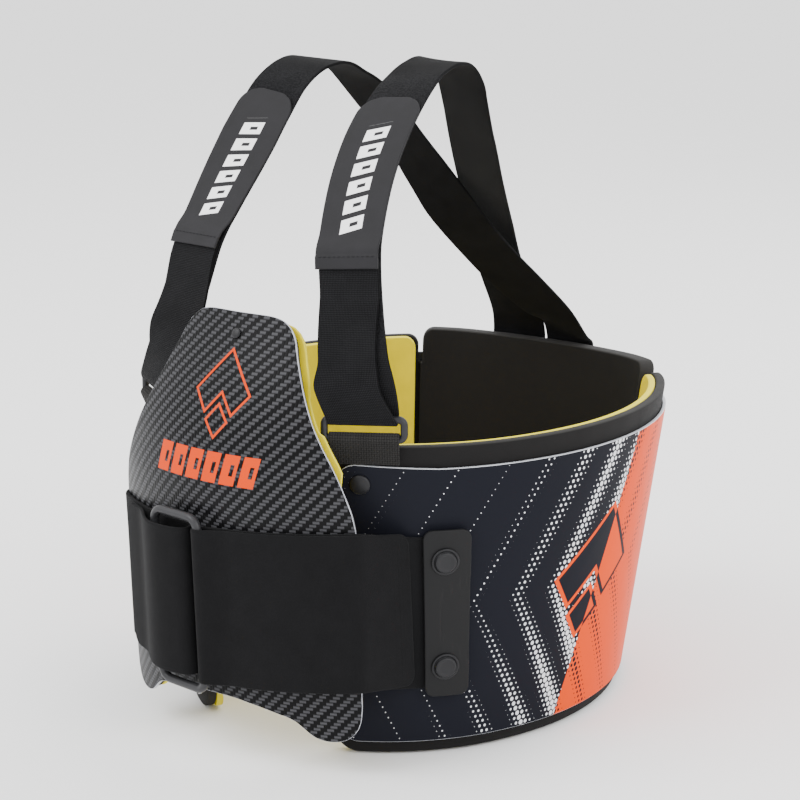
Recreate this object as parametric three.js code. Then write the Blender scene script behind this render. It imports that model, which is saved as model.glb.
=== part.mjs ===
import * as THREE from 'three';

// Rib protector, sizes in millimetres. Working height 0 is the lower edge of the foam wrap.
// The front faces -Y, the wearer's left is +X. The plan is a chain of tangent arcs from the
// middle of the back (arc length 0) round to the middle of the front.
const PLAN_ARCS = [
  { radius: 350, turn: 10.5 },
  { radius: 86, turn: 44 },
  { radius: 201, turn: 58.5 },
  { radius: 151, turn: 67 },
];
const FOAM_HEIGHT = 195;
const TAPER = 0.128;
const FRONT_LEAN = 0.03;
const FOAM_THICKNESS = 6;
const LINER_THICKNESS = 4.5;
const LAYER_GAP = 0.3;
const FRONT_OPENING = 122;
const FOAM_CORNER = 20;
const BACK_PANEL_HEIGHT = 200;
const BACK_SLOT_AT = 103;
const BACK_SLOT_WIDTH = 3.4;
const BACK_SLOT_DEPTH = 19;
const TAB_CORNER = 8;
const LINER_BACK_AT = 107;
const LINER_FRONT_INSET = 4;
const LINER_CORNER = 9;
const SHELL_THICKNESS = 2.5;
const SHELL_BOTTOM = 8;
const SHELL_TOP = FOAM_HEIGHT - 13.5;
const SHELL_FRONT_INSET = 8;
const SHELL_CORNER = 12;
// The shell's upper edge rises towards its front ends.
const SHELL_RISE = { from: 130, to: 70, rise: 3.4 };

// Front panel: outline as half width across the face, and a gentle lean of its middle line.
const PANEL_RADIUS = 165;
const PANEL_THICKNESS = 2.2;
const PANEL_OUTLINE = [
  { across: 0, bottom: 39.5, top: 267 },
  { across: 16, bottom: 39.2, top: 267 },
  { across: 25, bottom: 38, top: 266.6 },
  { across: 32, bottom: 37, top: 265 },
  { across: 37, bottom: 36, top: 262 },
  { across: 41, bottom: 35.2, top: 258 },
  { across: 44, bottom: 34.5, top: 253 },
  { across: 47, bottom: 33.8, top: 246 },
  { across: 51, bottom: 33, top: 238 },
  { across: 57, bottom: 30.5, top: 226.5 },
  { across: 63, bottom: 26, top: 216 },
  { across: 68, bottom: 22.5, top: 208 },
  { across: 74, bottom: 20.6, top: 199 },
  { across: 80, bottom: 20.3, top: 190 },
  { across: 86, bottom: 21.4, top: 180 },
  { across: 91, bottom: 24.5, top: 170 },
  { across: 94.5, bottom: 29, top: 161 },
  { across: 96.5, bottom: 35, top: 152 },
  { across: 97.2, bottom: 42, top: 145 },
];
const PANEL_LEAN = [
  { height: 15, front: -183 },
  { height: 65, front: -185 },
  { height: 115, front: -187 },
  { height: 165, front: -189 },
  { height: 190, front: -186 },
  { height: 205, front: -182.5 },
  { height: 225, front: -175 },
  { height: 254, front: -162 },
  { height: 270, front: -155 },
];
const PAD_THICKNESS = 3;
const PAD_LINER_THICKNESS = 2.4;
const PAD_GAP = 0.8;
const PANEL_ROWS = 10;
const PAD_INSET = 1.5;
const PAD_LINER_OVERHANG = 4;
const PAD_LINER_REACH = 87;
const PAD_LINER_NOTCH = { across: 64, half: 5, overhang: 1.5 };
const PANEL_RIVET = { across: 2, height: 255, radius: 3.2, tall: 1.4 };

// Closure over the lower half of the panel.
const BAND_THICKNESS = 2.2;
const BAND_BOTTOM = 49;
const BAND_HEIGHT = 96;
const BAND_LIFT = 0.5;
const BAND_LAYER_GAP = 1.4;
const BAND_PANEL_FROM = 98;
const BAND_FLAP = { past: 7.6, lean: 0.075, rise: -1.5 };
const BAND_PLATE_RISE = -5;
const RIVET_AHEAD = 1.5;
// How far the long band rises along the panel.
const BAND_RISE = [
  { across: 14, rise: 0 },
  { across: 98, rise: 5 },
];
const ROLL_BACK = 30;
const PLATE_THICKNESS = 2.6;
const PLATE_WIDTH = 29;
const PLATE_HEIGHT = 106;
const PLATE_BOTTOM = 39;
const PLATE_AT = 137.1;
const PLATE_LEAN = 0.055;
const PLATE_CORNER = 6;
const RIVET_HEAD = { radius: 6.4, tall: 1.5 };
const RIVET_PITCH = 67;
const RIVET_FLANGE = { radius: 8.4, tall: 0.7 };
const DOME_RIVET = { at: 83, height: SHELL_TOP - 9, radius: 6, tall: 2.2 };
const BAND_RING = { width: 44, height: 112, wire: 5.4, across: -17, middle: 97, lift: 8.2 };
const ROLL_HEIGHT = 92;
const ROLL_SLACK = 30;
const ROLL_CROWN = 16.5;

// Shoulder straps: centre line rows, in the order front ring to back end. Rises are heights
// above the foam wrap's upper edge.
const STRAP_WIDTH = 40;
const STRAP_THICKNESS = 2;
const STRAP_LEFT_PATH = [
  { x: 84, y: -146, rise: 37 },
  { x: 80, y: -147.5, rise: 71 },
  { x: 76.5, y: -146.5, rise: 105 },
  { x: 74, y: -141.5, rise: 125 },
  { x: 70, y: -126, rise: 155 },
  { x: 66, y: -103, rise: 182 },
  { x: 62, y: -72, rise: 205 },
  { x: 60, y: -43, rise: 213 },
  { x: 55, y: -19, rise: 202 },
  { x: 42, y: 9, rise: 173 },
  { x: 22, y: 46, rise: 138 },
  { x: 0, y: 88, rise: 101 },
  { x: -16, y: 121, rise: 67 },
  { x: -27, y: 157, rise: 27 },
];
const STRAP_RIGHT_PATH = [
  { x: -78.5, y: -138, rise: 41 },
  { x: -75.5, y: -125, rise: 68 },
  { x: -73.5, y: -110, rise: 103 },
  { x: -72, y: -97, rise: 123 },
  { x: -70, y: -79, rise: 148 },
  { x: -66, y: -60, rise: 176 },
  { x: -63, y: -43, rise: 196 },
  { x: -60, y: -21, rise: 206 },
  { x: -57, y: 6, rise: 201 },
  { x: -48, y: 31, rise: 177 },
  { x: -25, y: 49, rise: 135 },
  { x: -10, y: 66.5, rise: 102 },
  { x: 0, y: 99.5, rise: 67 },
  { x: 10.7, y: 146, rise: 27 },
];
const STRAP_BACK = { left: -31, right: 10.2, rises: [7, -11, -37, -65], lift: 1.4 };
// Behind the shoulders the rises run over to heights above a line below the back panel's top.
const BACK_RISE_LINE = { below: 5, reachedAt: 100 };
const STRAP_STEPS = 46;
const FACE_SPREAD = { front: 0.17, back: 1, frontY: -70, backY: -12 };
// How far each strap's face leans to the wearer's left, by depth.
const FACE_LEAN = [
  { y: -112, left: 0, right: 0 },
  { y: -80, left: -12, right: 25 },
  { y: -50, left: -28, right: 45 },
  { y: -20, left: -12, right: 62 },
  { y: 10, left: 0, right: 62 },
  { y: 35, left: 0, right: 25 },
  { y: 60, left: 0, right: 0 },
];
const FOLD_TOP = 101;
const FRONT_SHIFT = [
  { rise: 15, reach: 1.4 },
  { rise: 22, reach: 2.5 },
  { rise: 37, reach: 8.5 },
  { rise: 60, reach: 5.5 },
  { rise: 90, reach: 0 },
];
const RING_EASE_TOP = 51;
const LABEL_WIDTH = 42;
const LABEL_THICKNESS = 1.2;
const LABEL_LEFT = { bottom: 104, top: 194 };
const LABEL_RIGHT = { bottom: 97, top: 188 };
const STRAP_RING = { width: 50.6, height: 16.4, wire: 4.4, rise: 11.5, off: 3.7 };
const STRAP_RING_AT = { left: 85.5, right: 85.5 };
const LOOP_WIDTH = 41;
const LOOP_THICKNESS = 1.6;

// The frame's origin is the seat on the shoulders, midway between the straps where they crest.
const SEAT_Y = -32;
const SEAT_Z = FOAM_HEIGHT + 205;

const rad = (deg) => (deg * Math.PI) / 180;
const mix = (a, b, t) => a + (b - a) * t;
const add = (a, b, k = 1) => [a[0] + b[0] * k, a[1] + b[1] * k, a[2] + b[2] * k];
const cross = (a, b) => [
  a[1] * b[2] - a[2] * b[1],
  a[2] * b[0] - a[0] * b[2],
  a[0] * b[1] - a[1] * b[0],
];
const unit = (a) => {
  const length = Math.hypot(a[0], a[1], a[2]);
  return [a[0] / length, a[1] / length, a[2] / length];
};

function interpolate(rows, key, value, at) {
  const last = rows.length - 1;
  if (at <= rows[0][key]) return rows[0][value];
  if (at >= rows[last][key]) return rows[last][value];
  let i = 0;
  while (rows[i + 1][key] < at) i += 1;
  const t = (at - rows[i][key]) / (rows[i + 1][key] - rows[i][key]);
  return mix(rows[i][value], rows[i + 1][value], t);
}

// Smooth curve through table rows, one value at a time.
function smooth(rows, key, value, at) {
  const last = rows.length - 1;
  let i = 0;
  while (i < last - 1 && rows[i + 1][key] < at) i += 1;
  const p1 = rows[i];
  const p2 = rows[i + 1];
  const p0 = rows[Math.max(0, i - 1)];
  const p3 = rows[Math.min(last, i + 2)];
  const span = p2[key] - p1[key];
  const t = (at - p1[key]) / span;
  const m1 = ((p2[value] - p0[value]) / (p2[key] - p0[key])) * span;
  const m2 = ((p3[value] - p1[value]) / (p3[key] - p1[key])) * span;
  const t2 = t * t;
  const t3 = t2 * t;
  const start = (2 * t3 - 3 * t2 + 1) * p1[value] + (t3 - 2 * t2 + t) * m1;
  return start + (-2 * t3 + 3 * t2) * p2[value] + (t3 - t2) * m2;
}

// Plan arcs worked out once: start angle, start point and length of each.
function planChain() {
  const arcs = [];
  let angle = 0;
  let x = 0;
  let y = 0;
  let start = 0;
  for (const { radius, turn } of PLAN_ARCS) {
    const end = angle + rad(turn);
    arcs.push({ radius, angle, x, y, start });
    x += radius * (Math.sin(end) - Math.sin(angle));
    y += radius * (Math.cos(end) - Math.cos(angle));
    start += radius * (end - angle);
    angle = end;
  }
  return { arcs, half: start, depth: -y, closing: x };
}
const PLAN = planChain();
const HALF_GIRTH = PLAN.half;

// Point and outward normal on the wrap: s along the girth, z height, off outward from the foam.
function wrapAt(s, z, off) {
  const side = s < 0 ? -1 : 1;
  const along = Math.min(Math.abs(s), HALF_GIRTH);
  let i = PLAN.arcs.length - 1;
  while (i > 0 && PLAN.arcs[i].start > along) i -= 1;
  const arc = PLAN.arcs[i];
  const angle = arc.angle + (along - arc.start) / arc.radius;
  const drop = FOAM_HEIGHT - z;
  const out = off - TAPER * drop;
  const ease = PLAN.closing * (along / HALF_GIRTH);
  const x = arc.x + arc.radius * (Math.sin(angle) - Math.sin(arc.angle)) - ease;
  const y = arc.y + arc.radius * (Math.cos(angle) - Math.cos(arc.angle)) + PLAN.depth / 2;
  const nx = Math.sin(angle);
  const ny = Math.cos(angle);
  return {
    p: [side * (x + nx * out), y + ny * out - FRONT_LEAN * drop, z],
    n: unit([side * nx, ny, -TAPER]),
  };
}

// Point and normal on the front panel's outer face: across the face, height, off outward.
function panelAt(across, z, off) {
  const front = smooth(PANEL_LEAN, 'height', 'front', z);
  const slope = (smooth(PANEL_LEAN, 'height', 'front', z + 2) - front) / 2;
  const angle = across / PANEL_RADIUS;
  const n = unit([Math.sin(angle), -Math.cos(angle), slope]);
  const p = [PANEL_RADIUS * Math.sin(angle), front + PANEL_RADIUS * (1 - Math.cos(angle)), z];
  return { p: add(p, n, off), n };
}

function geometryOf(vertices, faces) {
  let volume = 0;
  for (const [a, b, c] of faces) {
    const A = vertices[a];
    const B = vertices[b];
    const C = vertices[c];
    const turn = cross(B, C);
    volume += A[0] * turn[0] + A[1] * turn[1] + A[2] * turn[2];
  }
  const index = [];
  for (const [a, b, c] of faces) {
    if (volume > 0) index.push(a, b, c);
    else index.push(a, c, b);
  }
  const geometry = new THREE.BufferGeometry();
  geometry.setAttribute('position', new THREE.Float32BufferAttribute(vertices.flat(), 3));
  geometry.setIndex(index);
  geometry.translate(0, -SEAT_Y, -SEAT_Z);
  geometry.computeVertexNormals();
  return geometry;
}

// Closed sheet between two matching grids of points, inner and outer.
function sheetSolid(inner, outer) {
  const nu = inner.length;
  const nv = inner[0].length;
  const vertices = [];
  for (const grid of [inner, outer]) {
    for (const row of grid) vertices.push(...row);
  }
  const at = (layer, i, j) => layer * nu * nv + i * nv + j;
  const faces = [];
  const quad = (a, b, c, d) => faces.push([a, b, c], [a, c, d]);
  for (let i = 0; i < nu - 1; i += 1) {
    for (let j = 0; j < nv - 1; j += 1) {
      quad(at(1, i, j), at(1, i + 1, j), at(1, i + 1, j + 1), at(1, i, j + 1));
      quad(at(0, i, j), at(0, i, j + 1), at(0, i + 1, j + 1), at(0, i + 1, j));
    }
    quad(at(0, i, 0), at(0, i + 1, 0), at(1, i + 1, 0), at(1, i, 0));
    const top = nv - 1;
    quad(at(0, i, top), at(1, i, top), at(1, i + 1, top), at(0, i + 1, top));
  }
  for (let j = 0; j < nv - 1; j += 1) {
    const end = nu - 1;
    quad(at(0, 0, j), at(1, 0, j), at(1, 0, j + 1), at(0, 0, j + 1));
    quad(at(0, end, j), at(0, end, j + 1), at(1, end, j + 1), at(1, end, j));
  }
  return geometryOf(vertices, faces);
}

// Sheet on a mapping (wrap or panel) from columns with a lower and an upper end.
function columnSheet(place, columns, rows) {
  const inner = [];
  const outer = [];
  for (const column of columns) {
    const innerRow = [];
    const outerRow = [];
    for (let j = 0; j <= rows; j += 1) {
      const z = mix(column.bottom, column.top, j / rows);
      innerRow.push(place(column.at, z, column.inner).p);
      outerRow.push(place(column.at, z, column.outer).p);
    }
    inner.push(innerRow);
    outer.push(outerRow);
  }
  return sheetSolid(inner, outer);
}

// Columns from one end to the other, closer together where an end corner is rounded.
function roundedColumns(from, to, bottom, top, corner, step) {
  const columns = [];
  for (let k = 0; k <= 5; k += 1) {
    const turn = rad(90 * (k / 5));
    columns.push({ at: from + corner * (1 - Math.cos(turn)), cut: corner * (1 - Math.sin(turn)) });
  }
  const inside = to - from - 2 * corner;
  const count = Math.max(1, Math.round(inside / step));
  for (let k = 1; k < count; k += 1) {
    columns.push({ at: from + corner + (inside * k) / count, cut: 0 });
  }
  for (let k = 5; k >= 0; k -= 1) {
    const turn = rad(90 * (k / 5));
    columns.push({ at: to - corner * (1 - Math.cos(turn)), cut: corner * (1 - Math.sin(turn)) });
  }
  return columns.map(({ at, cut }) => ({ at, bottom: bottom + cut, top: top - cut }));
}

function mesh(name, geometry, color, roughness, metalness) {
  const material = new THREE.MeshStandardMaterial({ color, roughness, metalness });
  const made = new THREE.Mesh(geometry, material);
  made.name = name;
  return made;
}

const FRONT_END = HALF_GIRTH - FRONT_OPENING / 2;

function shellTop(s) {
  const ahead = Math.abs(s) - (HALF_GIRTH - SHELL_RISE.from);
  const share = Math.min(1, Math.max(0, ahead / (SHELL_RISE.from - SHELL_RISE.to)));
  return SHELL_TOP + SHELL_RISE.rise * share;
}

// Height of the foam wrap's upper edge: side walls, two slots, and the taller back panel.
function foamTop(s) {
  const from = Math.abs(s) - BACK_SLOT_AT;
  const half = BACK_SLOT_WIDTH / 2;
  if (Math.abs(from) <= half) return FOAM_HEIGHT - BACK_SLOT_DEPTH;
  const full = from > 0 ? FOAM_HEIGHT : BACK_PANEL_HEIGHT;
  const reach = Math.abs(from) - half;
  if (reach >= TAB_CORNER) return full;
  const back = TAB_CORNER - reach;
  return full - TAB_CORNER + Math.sqrt(TAB_CORNER * TAB_CORNER - back * back);
}

function foamWrap() {
  const half = BACK_SLOT_WIDTH / 2;
  const columns = roundedColumns(-FRONT_END, FRONT_END, 0, FOAM_HEIGHT, FOAM_CORNER, 13);
  const extra = [];
  for (const side of [-1, 1]) {
    for (const from of [-8, -5, -2.4, -0.8, -0.01, 0.01, 0.8, 2.4, 5, 8]) {
      const reach = from > 0 ? half + from : from - half;
      extra.push(side * (BACK_SLOT_AT + reach));
    }
    extra.push(side * (BACK_SLOT_AT - half + 0.15));
    extra.push(side * (BACK_SLOT_AT + half - 0.15));
  }
  const near = (at) => extra.some((e) => Math.abs(e - at) < 3);
  const kept = columns.filter((c) => !near(c.at));
  for (const at of extra) kept.push({ at, bottom: 0, top: foamTop(at) });
  kept.sort((a, b) => a.at - b.at);
  for (const c of kept) {
    const inBack = Math.abs(c.at) < BACK_SLOT_AT;
    if (inBack && c.top === FOAM_HEIGHT) c.top = BACK_PANEL_HEIGHT;
    c.inner = inBack ? -FOAM_THICKNESS - LINER_THICKNESS : -FOAM_THICKNESS;
    c.outer = 0;
  }
  return mesh('foam_wrap', columnSheet(wrapAt, kept, 1), 0x2a2927, 0.9, 0);
}

function liner(name, side) {
  const from = LINER_BACK_AT;
  const to = FRONT_END - LINER_FRONT_INSET;
  const columns = roundedColumns(from, to, 0.6, FOAM_HEIGHT - 0.6, LINER_CORNER, 13);
  for (const c of columns) {
    c.at *= side;
    c.outer = -FOAM_THICKNESS - LAYER_GAP;
    c.inner = c.outer - LINER_THICKNESS;
  }
  return mesh(name, columnSheet(wrapAt, columns, 1), 0xd3c414, 0.75, 0);
}

function outerShell() {
  const end = FRONT_END - SHELL_FRONT_INSET;
  const columns = roundedColumns(-end, end, SHELL_BOTTOM, SHELL_TOP, SHELL_CORNER, 12);
  for (const c of columns) {
    c.top += shellTop(c.at) - SHELL_TOP;
    c.inner = LAYER_GAP;
    c.outer = LAYER_GAP + SHELL_THICKNESS;
  }
  return mesh('outer_shell', columnSheet(wrapAt, columns, 1), 0x23242a, 0.35, 0);
}

const SHELL_FACE = LAYER_GAP + SHELL_THICKNESS;

function panelColumns(change) {
  const rows = PANEL_OUTLINE.map(change);
  const left = rows
    .slice(1)
    .reverse()
    .map((r) => ({ ...r, at: -r.at }));
  return [...left, ...rows];
}

function frontPanel() {
  const columns = panelColumns(({ across, bottom, top }) => ({
    at: across,
    bottom,
    top,
    inner: -PANEL_THICKNESS,
    outer: 0,
  }));
  return mesh('front_panel', columnSheet(panelAt, columns, PANEL_ROWS), 0x1c1d20, 0.3, 0);
}

function frontPad() {
  const outer = -PANEL_THICKNESS - PAD_GAP;
  const columns = panelColumns(({ across, bottom, top }) => ({
    at: across,
    bottom: bottom + PAD_INSET,
    top: top - PAD_INSET,
    inner: outer - PAD_THICKNESS,
    outer,
  }));
  return mesh('front_pad', columnSheet(panelAt, columns, PANEL_ROWS), 0x2a2927, 0.9, 0);
}

// Yellow layer behind the panel: it shows past the slanted sides above the shell.
function frontPadLiner() {
  const outer = -PANEL_THICKNESS - 2 * PAD_GAP - PAD_THICKNESS;
  const change = ({ across, bottom }) => {
    const notch = Math.abs(across - PAD_LINER_NOTCH.across) < PAD_LINER_NOTCH.half;
    const overhang = notch ? PAD_LINER_NOTCH.overhang : PAD_LINER_OVERHANG;
    const inward = Math.max(0, across - overhang * Math.min(1, across / 20));
    return {
      at: across,
      bottom: bottom + PAD_INSET,
      top: interpolate(PANEL_OUTLINE, 'across', 'top', inward) - PAD_INSET,
      inner: outer - PAD_LINER_THICKNESS,
      outer,
    };
  };
  const columns = panelColumns(change).filter((c) => Math.abs(c.at) <= PAD_LINER_REACH);
  const name = 'front_pad_liner';
  return mesh(name, columnSheet(panelAt, columns, PANEL_ROWS), 0xd3c414, 0.75, 0);
}

// Round head on a surface, lying flat on it: rows of radius and rise.
function roundHead(place, rows, sides) {
  const { p, n } = place;
  const side = unit(cross([0, 0, 1], n));
  const up = cross(n, side);
  const vertices = [p];
  const faces = [];
  for (const { radius, rise } of rows) {
    for (let k = 0; k < sides; k += 1) {
      const a = (2 * Math.PI * k) / sides;
      const ringPoint = add(add(p, side, radius * Math.cos(a)), up, radius * Math.sin(a));
      vertices.push(add(ringPoint, n, rise));
    }
  }
  const last = rows[rows.length - 1];
  vertices.push(add(p, n, last.rise));
  const top = vertices.length - 1;
  for (let k = 0; k < sides; k += 1) {
    const next = (k + 1) % sides;
    faces.push([0, 1 + next, 1 + k]);
    for (let r = 0; r < rows.length - 1; r += 1) {
      const a = 1 + r * sides + k;
      const b = 1 + r * sides + next;
      faces.push([a, b, b + sides], [a, b + sides, a + sides]);
    }
    const start = 1 + (rows.length - 1) * sides;
    faces.push([top, start + k, start + next]);
  }
  return geometryOf(vertices, faces);
}

function domeRows(radius, tall) {
  const rows = [{ radius, rise: 0 }];
  rows.push({ radius, rise: tall * 0.35 });
  rows.push({ radius: radius * 0.86, rise: tall * 0.75 });
  rows.push({ radius: radius * 0.55, rise: tall });
  return rows;
}

const PLATE_FACE = SHELL_FACE + BAND_LIFT + BAND_THICKNESS + LAYER_GAP * 1.5 + PLATE_THICKNESS;

const PLATE_MIDDLE = PLATE_BOTTOM + PLATE_HEIGHT / 2;

// Place on a plate, which leans forward towards its top.
function onPlate(side, s, z, off) {
  return wrapAt(side * (s + PLATE_LEAN * (z - PLATE_MIDDLE)), z, off);
}

function rivetPlate(name, side) {
  const from = HALF_GIRTH - PLATE_AT - PLATE_WIDTH / 2;
  const to = from + PLATE_WIDTH;
  const top = PLATE_BOTTOM + PLATE_HEIGHT;
  const columns = roundedColumns(from, to, PLATE_BOTTOM, top, PLATE_CORNER, 6);
  for (const c of columns) {
    c.inner = PLATE_FACE - PLATE_THICKNESS;
    c.outer = PLATE_FACE;
  }
  const place = (at, z, off) => onPlate(side, at, z, off);
  return mesh(name, columnSheet(place, columns, 1), 0x202020, 0.55, 0);
}

function plateRivet(name, side, end) {
  const z = PLATE_MIDDLE + (end * RIVET_PITCH) / 2;
  const rows = [
    { radius: RIVET_FLANGE.radius, rise: 0 },
    { radius: RIVET_FLANGE.radius, rise: RIVET_FLANGE.tall },
    { radius: RIVET_HEAD.radius, rise: RIVET_FLANGE.tall },
    { radius: RIVET_HEAD.radius, rise: RIVET_FLANGE.tall + RIVET_HEAD.tall * 0.6 },
    { radius: RIVET_HEAD.radius * 0.86, rise: RIVET_FLANGE.tall + RIVET_HEAD.tall },
  ];
  const s = HALF_GIRTH - PLATE_AT + RIVET_AHEAD;
  const place = onPlate(side, s, z, PLATE_FACE + LAYER_GAP + 0.2);
  return mesh(name, roundHead(place, rows, 20), 0x2b2b2b, 0.35, 0.6);
}

function domeRivet(name, side) {
  const s = side * (HALF_GIRTH - DOME_RIVET.at);
  const place = wrapAt(s, DOME_RIVET.height, SHELL_FACE + LAYER_GAP);
  const rows = domeRows(DOME_RIVET.radius, DOME_RIVET.tall);
  return mesh(name, roundHead(place, rows, 20), 0x2b2b2b, 0.35, 0.6);
}

function panelRivet() {
  const place = panelAt(PANEL_RIVET.across, PANEL_RIVET.height, LAYER_GAP);
  const rows = domeRows(PANEL_RIVET.radius, PANEL_RIVET.tall);
  return mesh('panel_rivet', roundHead(place, rows, 20), 0x2b2b2b, 0.35, 0.6);
}

// Tube along a closed loop of points.
function loopTube(points, radius, sides) {
  const count = points.length;
  const vertices = [];
  const faces = [];
  const middle = points.reduce((sum, q) => add(sum, q, 1 / count), [0, 0, 0]);
  const flat = unit(cross(add(points[0], middle, -1), add(points[3], middle, -1)));
  for (let i = 0; i < count; i += 1) {
    const ahead = unit(add(points[(i + 1) % count], points[(i + count - 1) % count], -1));
    const out = unit(cross(ahead, flat));
    for (let k = 0; k < sides; k += 1) {
      const a = (2 * Math.PI * k) / sides;
      const spot = add(points[i], out, radius * Math.cos(a));
      vertices.push(add(spot, flat, radius * Math.sin(a)));
    }
  }
  for (let i = 0; i < count; i += 1) {
    for (let k = 0; k < sides; k += 1) {
      const j = (i + 1) % count;
      const m = (k + 1) % sides;
      const a = i * sides + k;
      const b = j * sides + k;
      const c = j * sides + m;
      const d = i * sides + m;
      faces.push([a, b, c], [a, c, d]);
    }
  }
  return geometryOf(vertices, faces);
}

function ringPoints(centre, side, up, width, height, corner) {
  const points = [];
  const half = { w: width / 2 - corner, h: height / 2 - corner };
  const corners = [
    [1, 1, 0],
    [-1, 1, 90],
    [-1, -1, 180],
    [1, -1, 270],
  ];
  for (const [sw, sh, start] of corners) {
    for (let k = 0; k <= 4; k += 1) {
      const a = rad(start + (90 * k) / 4);
      const w = sw * half.w + corner * Math.cos(a);
      const h = sh * half.h + corner * Math.sin(a);
      points.push(add(add(centre, side, w), up, h));
    }
  }
  return points;
}

function ringFrame(place) {
  const side = unit(cross([0, 0, 1], place.n));
  const up = unit(cross(place.n, side));
  return { side, up };
}

function bandRing() {
  const place = panelAt(BAND_RING.across, BAND_RING.middle, BAND_RING.lift);
  const { side, up } = ringFrame(place);
  const { width, height, wire } = BAND_RING;
  const points = ringPoints(place.p, side, up, width - wire, height - wire, 7);
  return mesh('band_ring', loopTube(points, wire / 2, 8), 0x35363a, 0.25, 0.7);
}

const RING_MIDDLE = FOAM_HEIGHT + STRAP_RING.rise;

function ringGirth(side) {
  return side * (HALF_GIRTH - (side > 0 ? STRAP_RING_AT.left : STRAP_RING_AT.right));
}

function strapRingPlace(side) {
  const place = wrapAt(ringGirth(side), RING_MIDDLE, STRAP_RING.off);
  place.n = unit([place.n[0], place.n[1], 0]);
  return place;
}

function strapRing(name, side) {
  const place = strapRingPlace(side);
  const frame = ringFrame(place);
  const { width, height, wire } = STRAP_RING;
  const points = ringPoints(place.p, frame.side, frame.up, width - wire, height - wire, 3.4);
  return mesh(name, loopTube(points, wire / 2, 8), 0x1d1d1e, 0.35, 0.6);
}

// Flat strip along a path: stations with a point, a thickness direction and a width direction.
function stripSolid(stations, width, thickness, across) {
  const inner = [];
  const outer = [];
  for (const { p, n, w, half } of stations) {
    const innerRow = [];
    const outerRow = [];
    const reach = half === undefined ? width / 2 : half;
    for (let j = 0; j <= across; j += 1) {
      const edge = add(p, w, mix(-reach, reach, j / across));
      innerRow.push(add(edge, n, -thickness / 2));
      outerRow.push(add(edge, n, thickness / 2));
    }
    inner.push(innerRow);
    outer.push(outerRow);
  }
  return sheetSolid(inner, outer);
}

// Height that the straps' rises are measured from, by depth.
function riseLine(y) {
  const share = Math.min(1, Math.max(0, y / BACK_RISE_LINE.reachedAt));
  return mix(FOAM_HEIGHT, BACK_PANEL_HEIGHT - BACK_RISE_LINE.below, share);
}

// Back end of a strap: straight down the outside of the shell.
function withBackEnd(rows, s) {
  const off = LAYER_GAP * 2 + SHELL_THICKNESS + STRAP_THICKNESS / 2 + STRAP_BACK.lift;
  const ends = STRAP_BACK.rises.map((rise) => {
    const { p } = wrapAt(s, BACK_PANEL_HEIGHT - BACK_RISE_LINE.below + rise, off);
    return { x: p[0], y: p[1], z: p[2] };
  });
  return [...rows, ...ends];
}

function smoothPoint(rows, t) {
  const last = rows.length - 1;
  const at = Math.min(last - 1e-6, Math.max(0, t * last));
  const i = Math.floor(at);
  const keyed = rows.map((r, k) => ({ ...r, k }));
  return ['x', 'y', 'z'].map((axis) => smooth(keyed, 'k', axis, Math.max(at, i)));
}

// The strap lies on an imagined torso: its face looks ahead, then up, then back.
function strapStation(rows, t) {
  const p = smoothPoint(rows, t);
  const step = 0.004;
  const ahead = smoothPoint(rows, Math.min(1, t + step));
  const behind = smoothPoint(rows, Math.max(0, t - step));
  const along = unit(add(ahead, behind, -1));
  const above = Math.max(0, p[2] - FOAM_HEIGHT - 55);
  const reach = FACE_SPREAD.backY - FACE_SPREAD.frontY;
  const share = Math.min(1, Math.max(0, (p[1] - FACE_SPREAD.frontY) / reach));
  const spread = mix(FACE_SPREAD.front, FACE_SPREAD.back, share);
  const lean = interpolate(FACE_LEAN, 'y', rows[0].x > 0 ? 'left' : 'right', p[1]);
  const away = [p[0] * spread + lean, p[1] + 8, above * 0.8];
  const w = unit(cross(along, away));
  const n = unit(cross(w, along));
  return { p, n, w, along };
}

function strapStations(rows) {
  const stations = [];
  for (let i = 0; i <= STRAP_STEPS; i += 1) stations.push(strapStation(rows, i / STRAP_STEPS));
  return stations;
}

// The ring's upper bar, which the strap turns round.
function upperBar(side) {
  const ring = strapRingPlace(side);
  const { side: w } = ringFrame(ring);
  const centre = [...ring.p];
  centre[2] = RING_MIDDLE + STRAP_RING.height / 2 - STRAP_RING.wire / 2;
  return { centre, n: ring.n, w };
}

const FOLD_RADIUS = STRAP_RING.wire / 2 + LAYER_GAP + STRAP_THICKNESS / 2 + 0.1;

// Path rows with the front end set on the ring and the back end on the shell.
function strapRows(rows, side, backAt) {
  const { centre, n } = upperBar(side);
  const start = add(centre, n, -FOLD_RADIUS);
  const path = rows.map(({ x, y, rise }) => ({ x, y, z: riseLine(y) + rise }));
  return withBackEnd([{ x: start[0], y: start[1], z: start[2] }, ...path], backAt);
}

// Near the ring the strap turns square to the ring's bar.
function easeToRing(station, bar) {
  const top = FOAM_HEIGHT + RING_EASE_TOP;
  if (station.p[1] > -60 || station.p[2] > top) return station;
  const part = Math.min(1, (top - station.p[2]) / (top - bar.centre[2] - 6));
  const w = unit(add(add([0, 0, 0], station.w, 1 - part), bar.w, part));
  return { ...station, w, n: unit(cross(w, station.along)) };
}

// How far the front layer lies towards the middle of the chest.
function frontShift(z) {
  return interpolate(FRONT_SHIFT, 'rise', 'reach', z - FOAM_HEIGHT);
}

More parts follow.
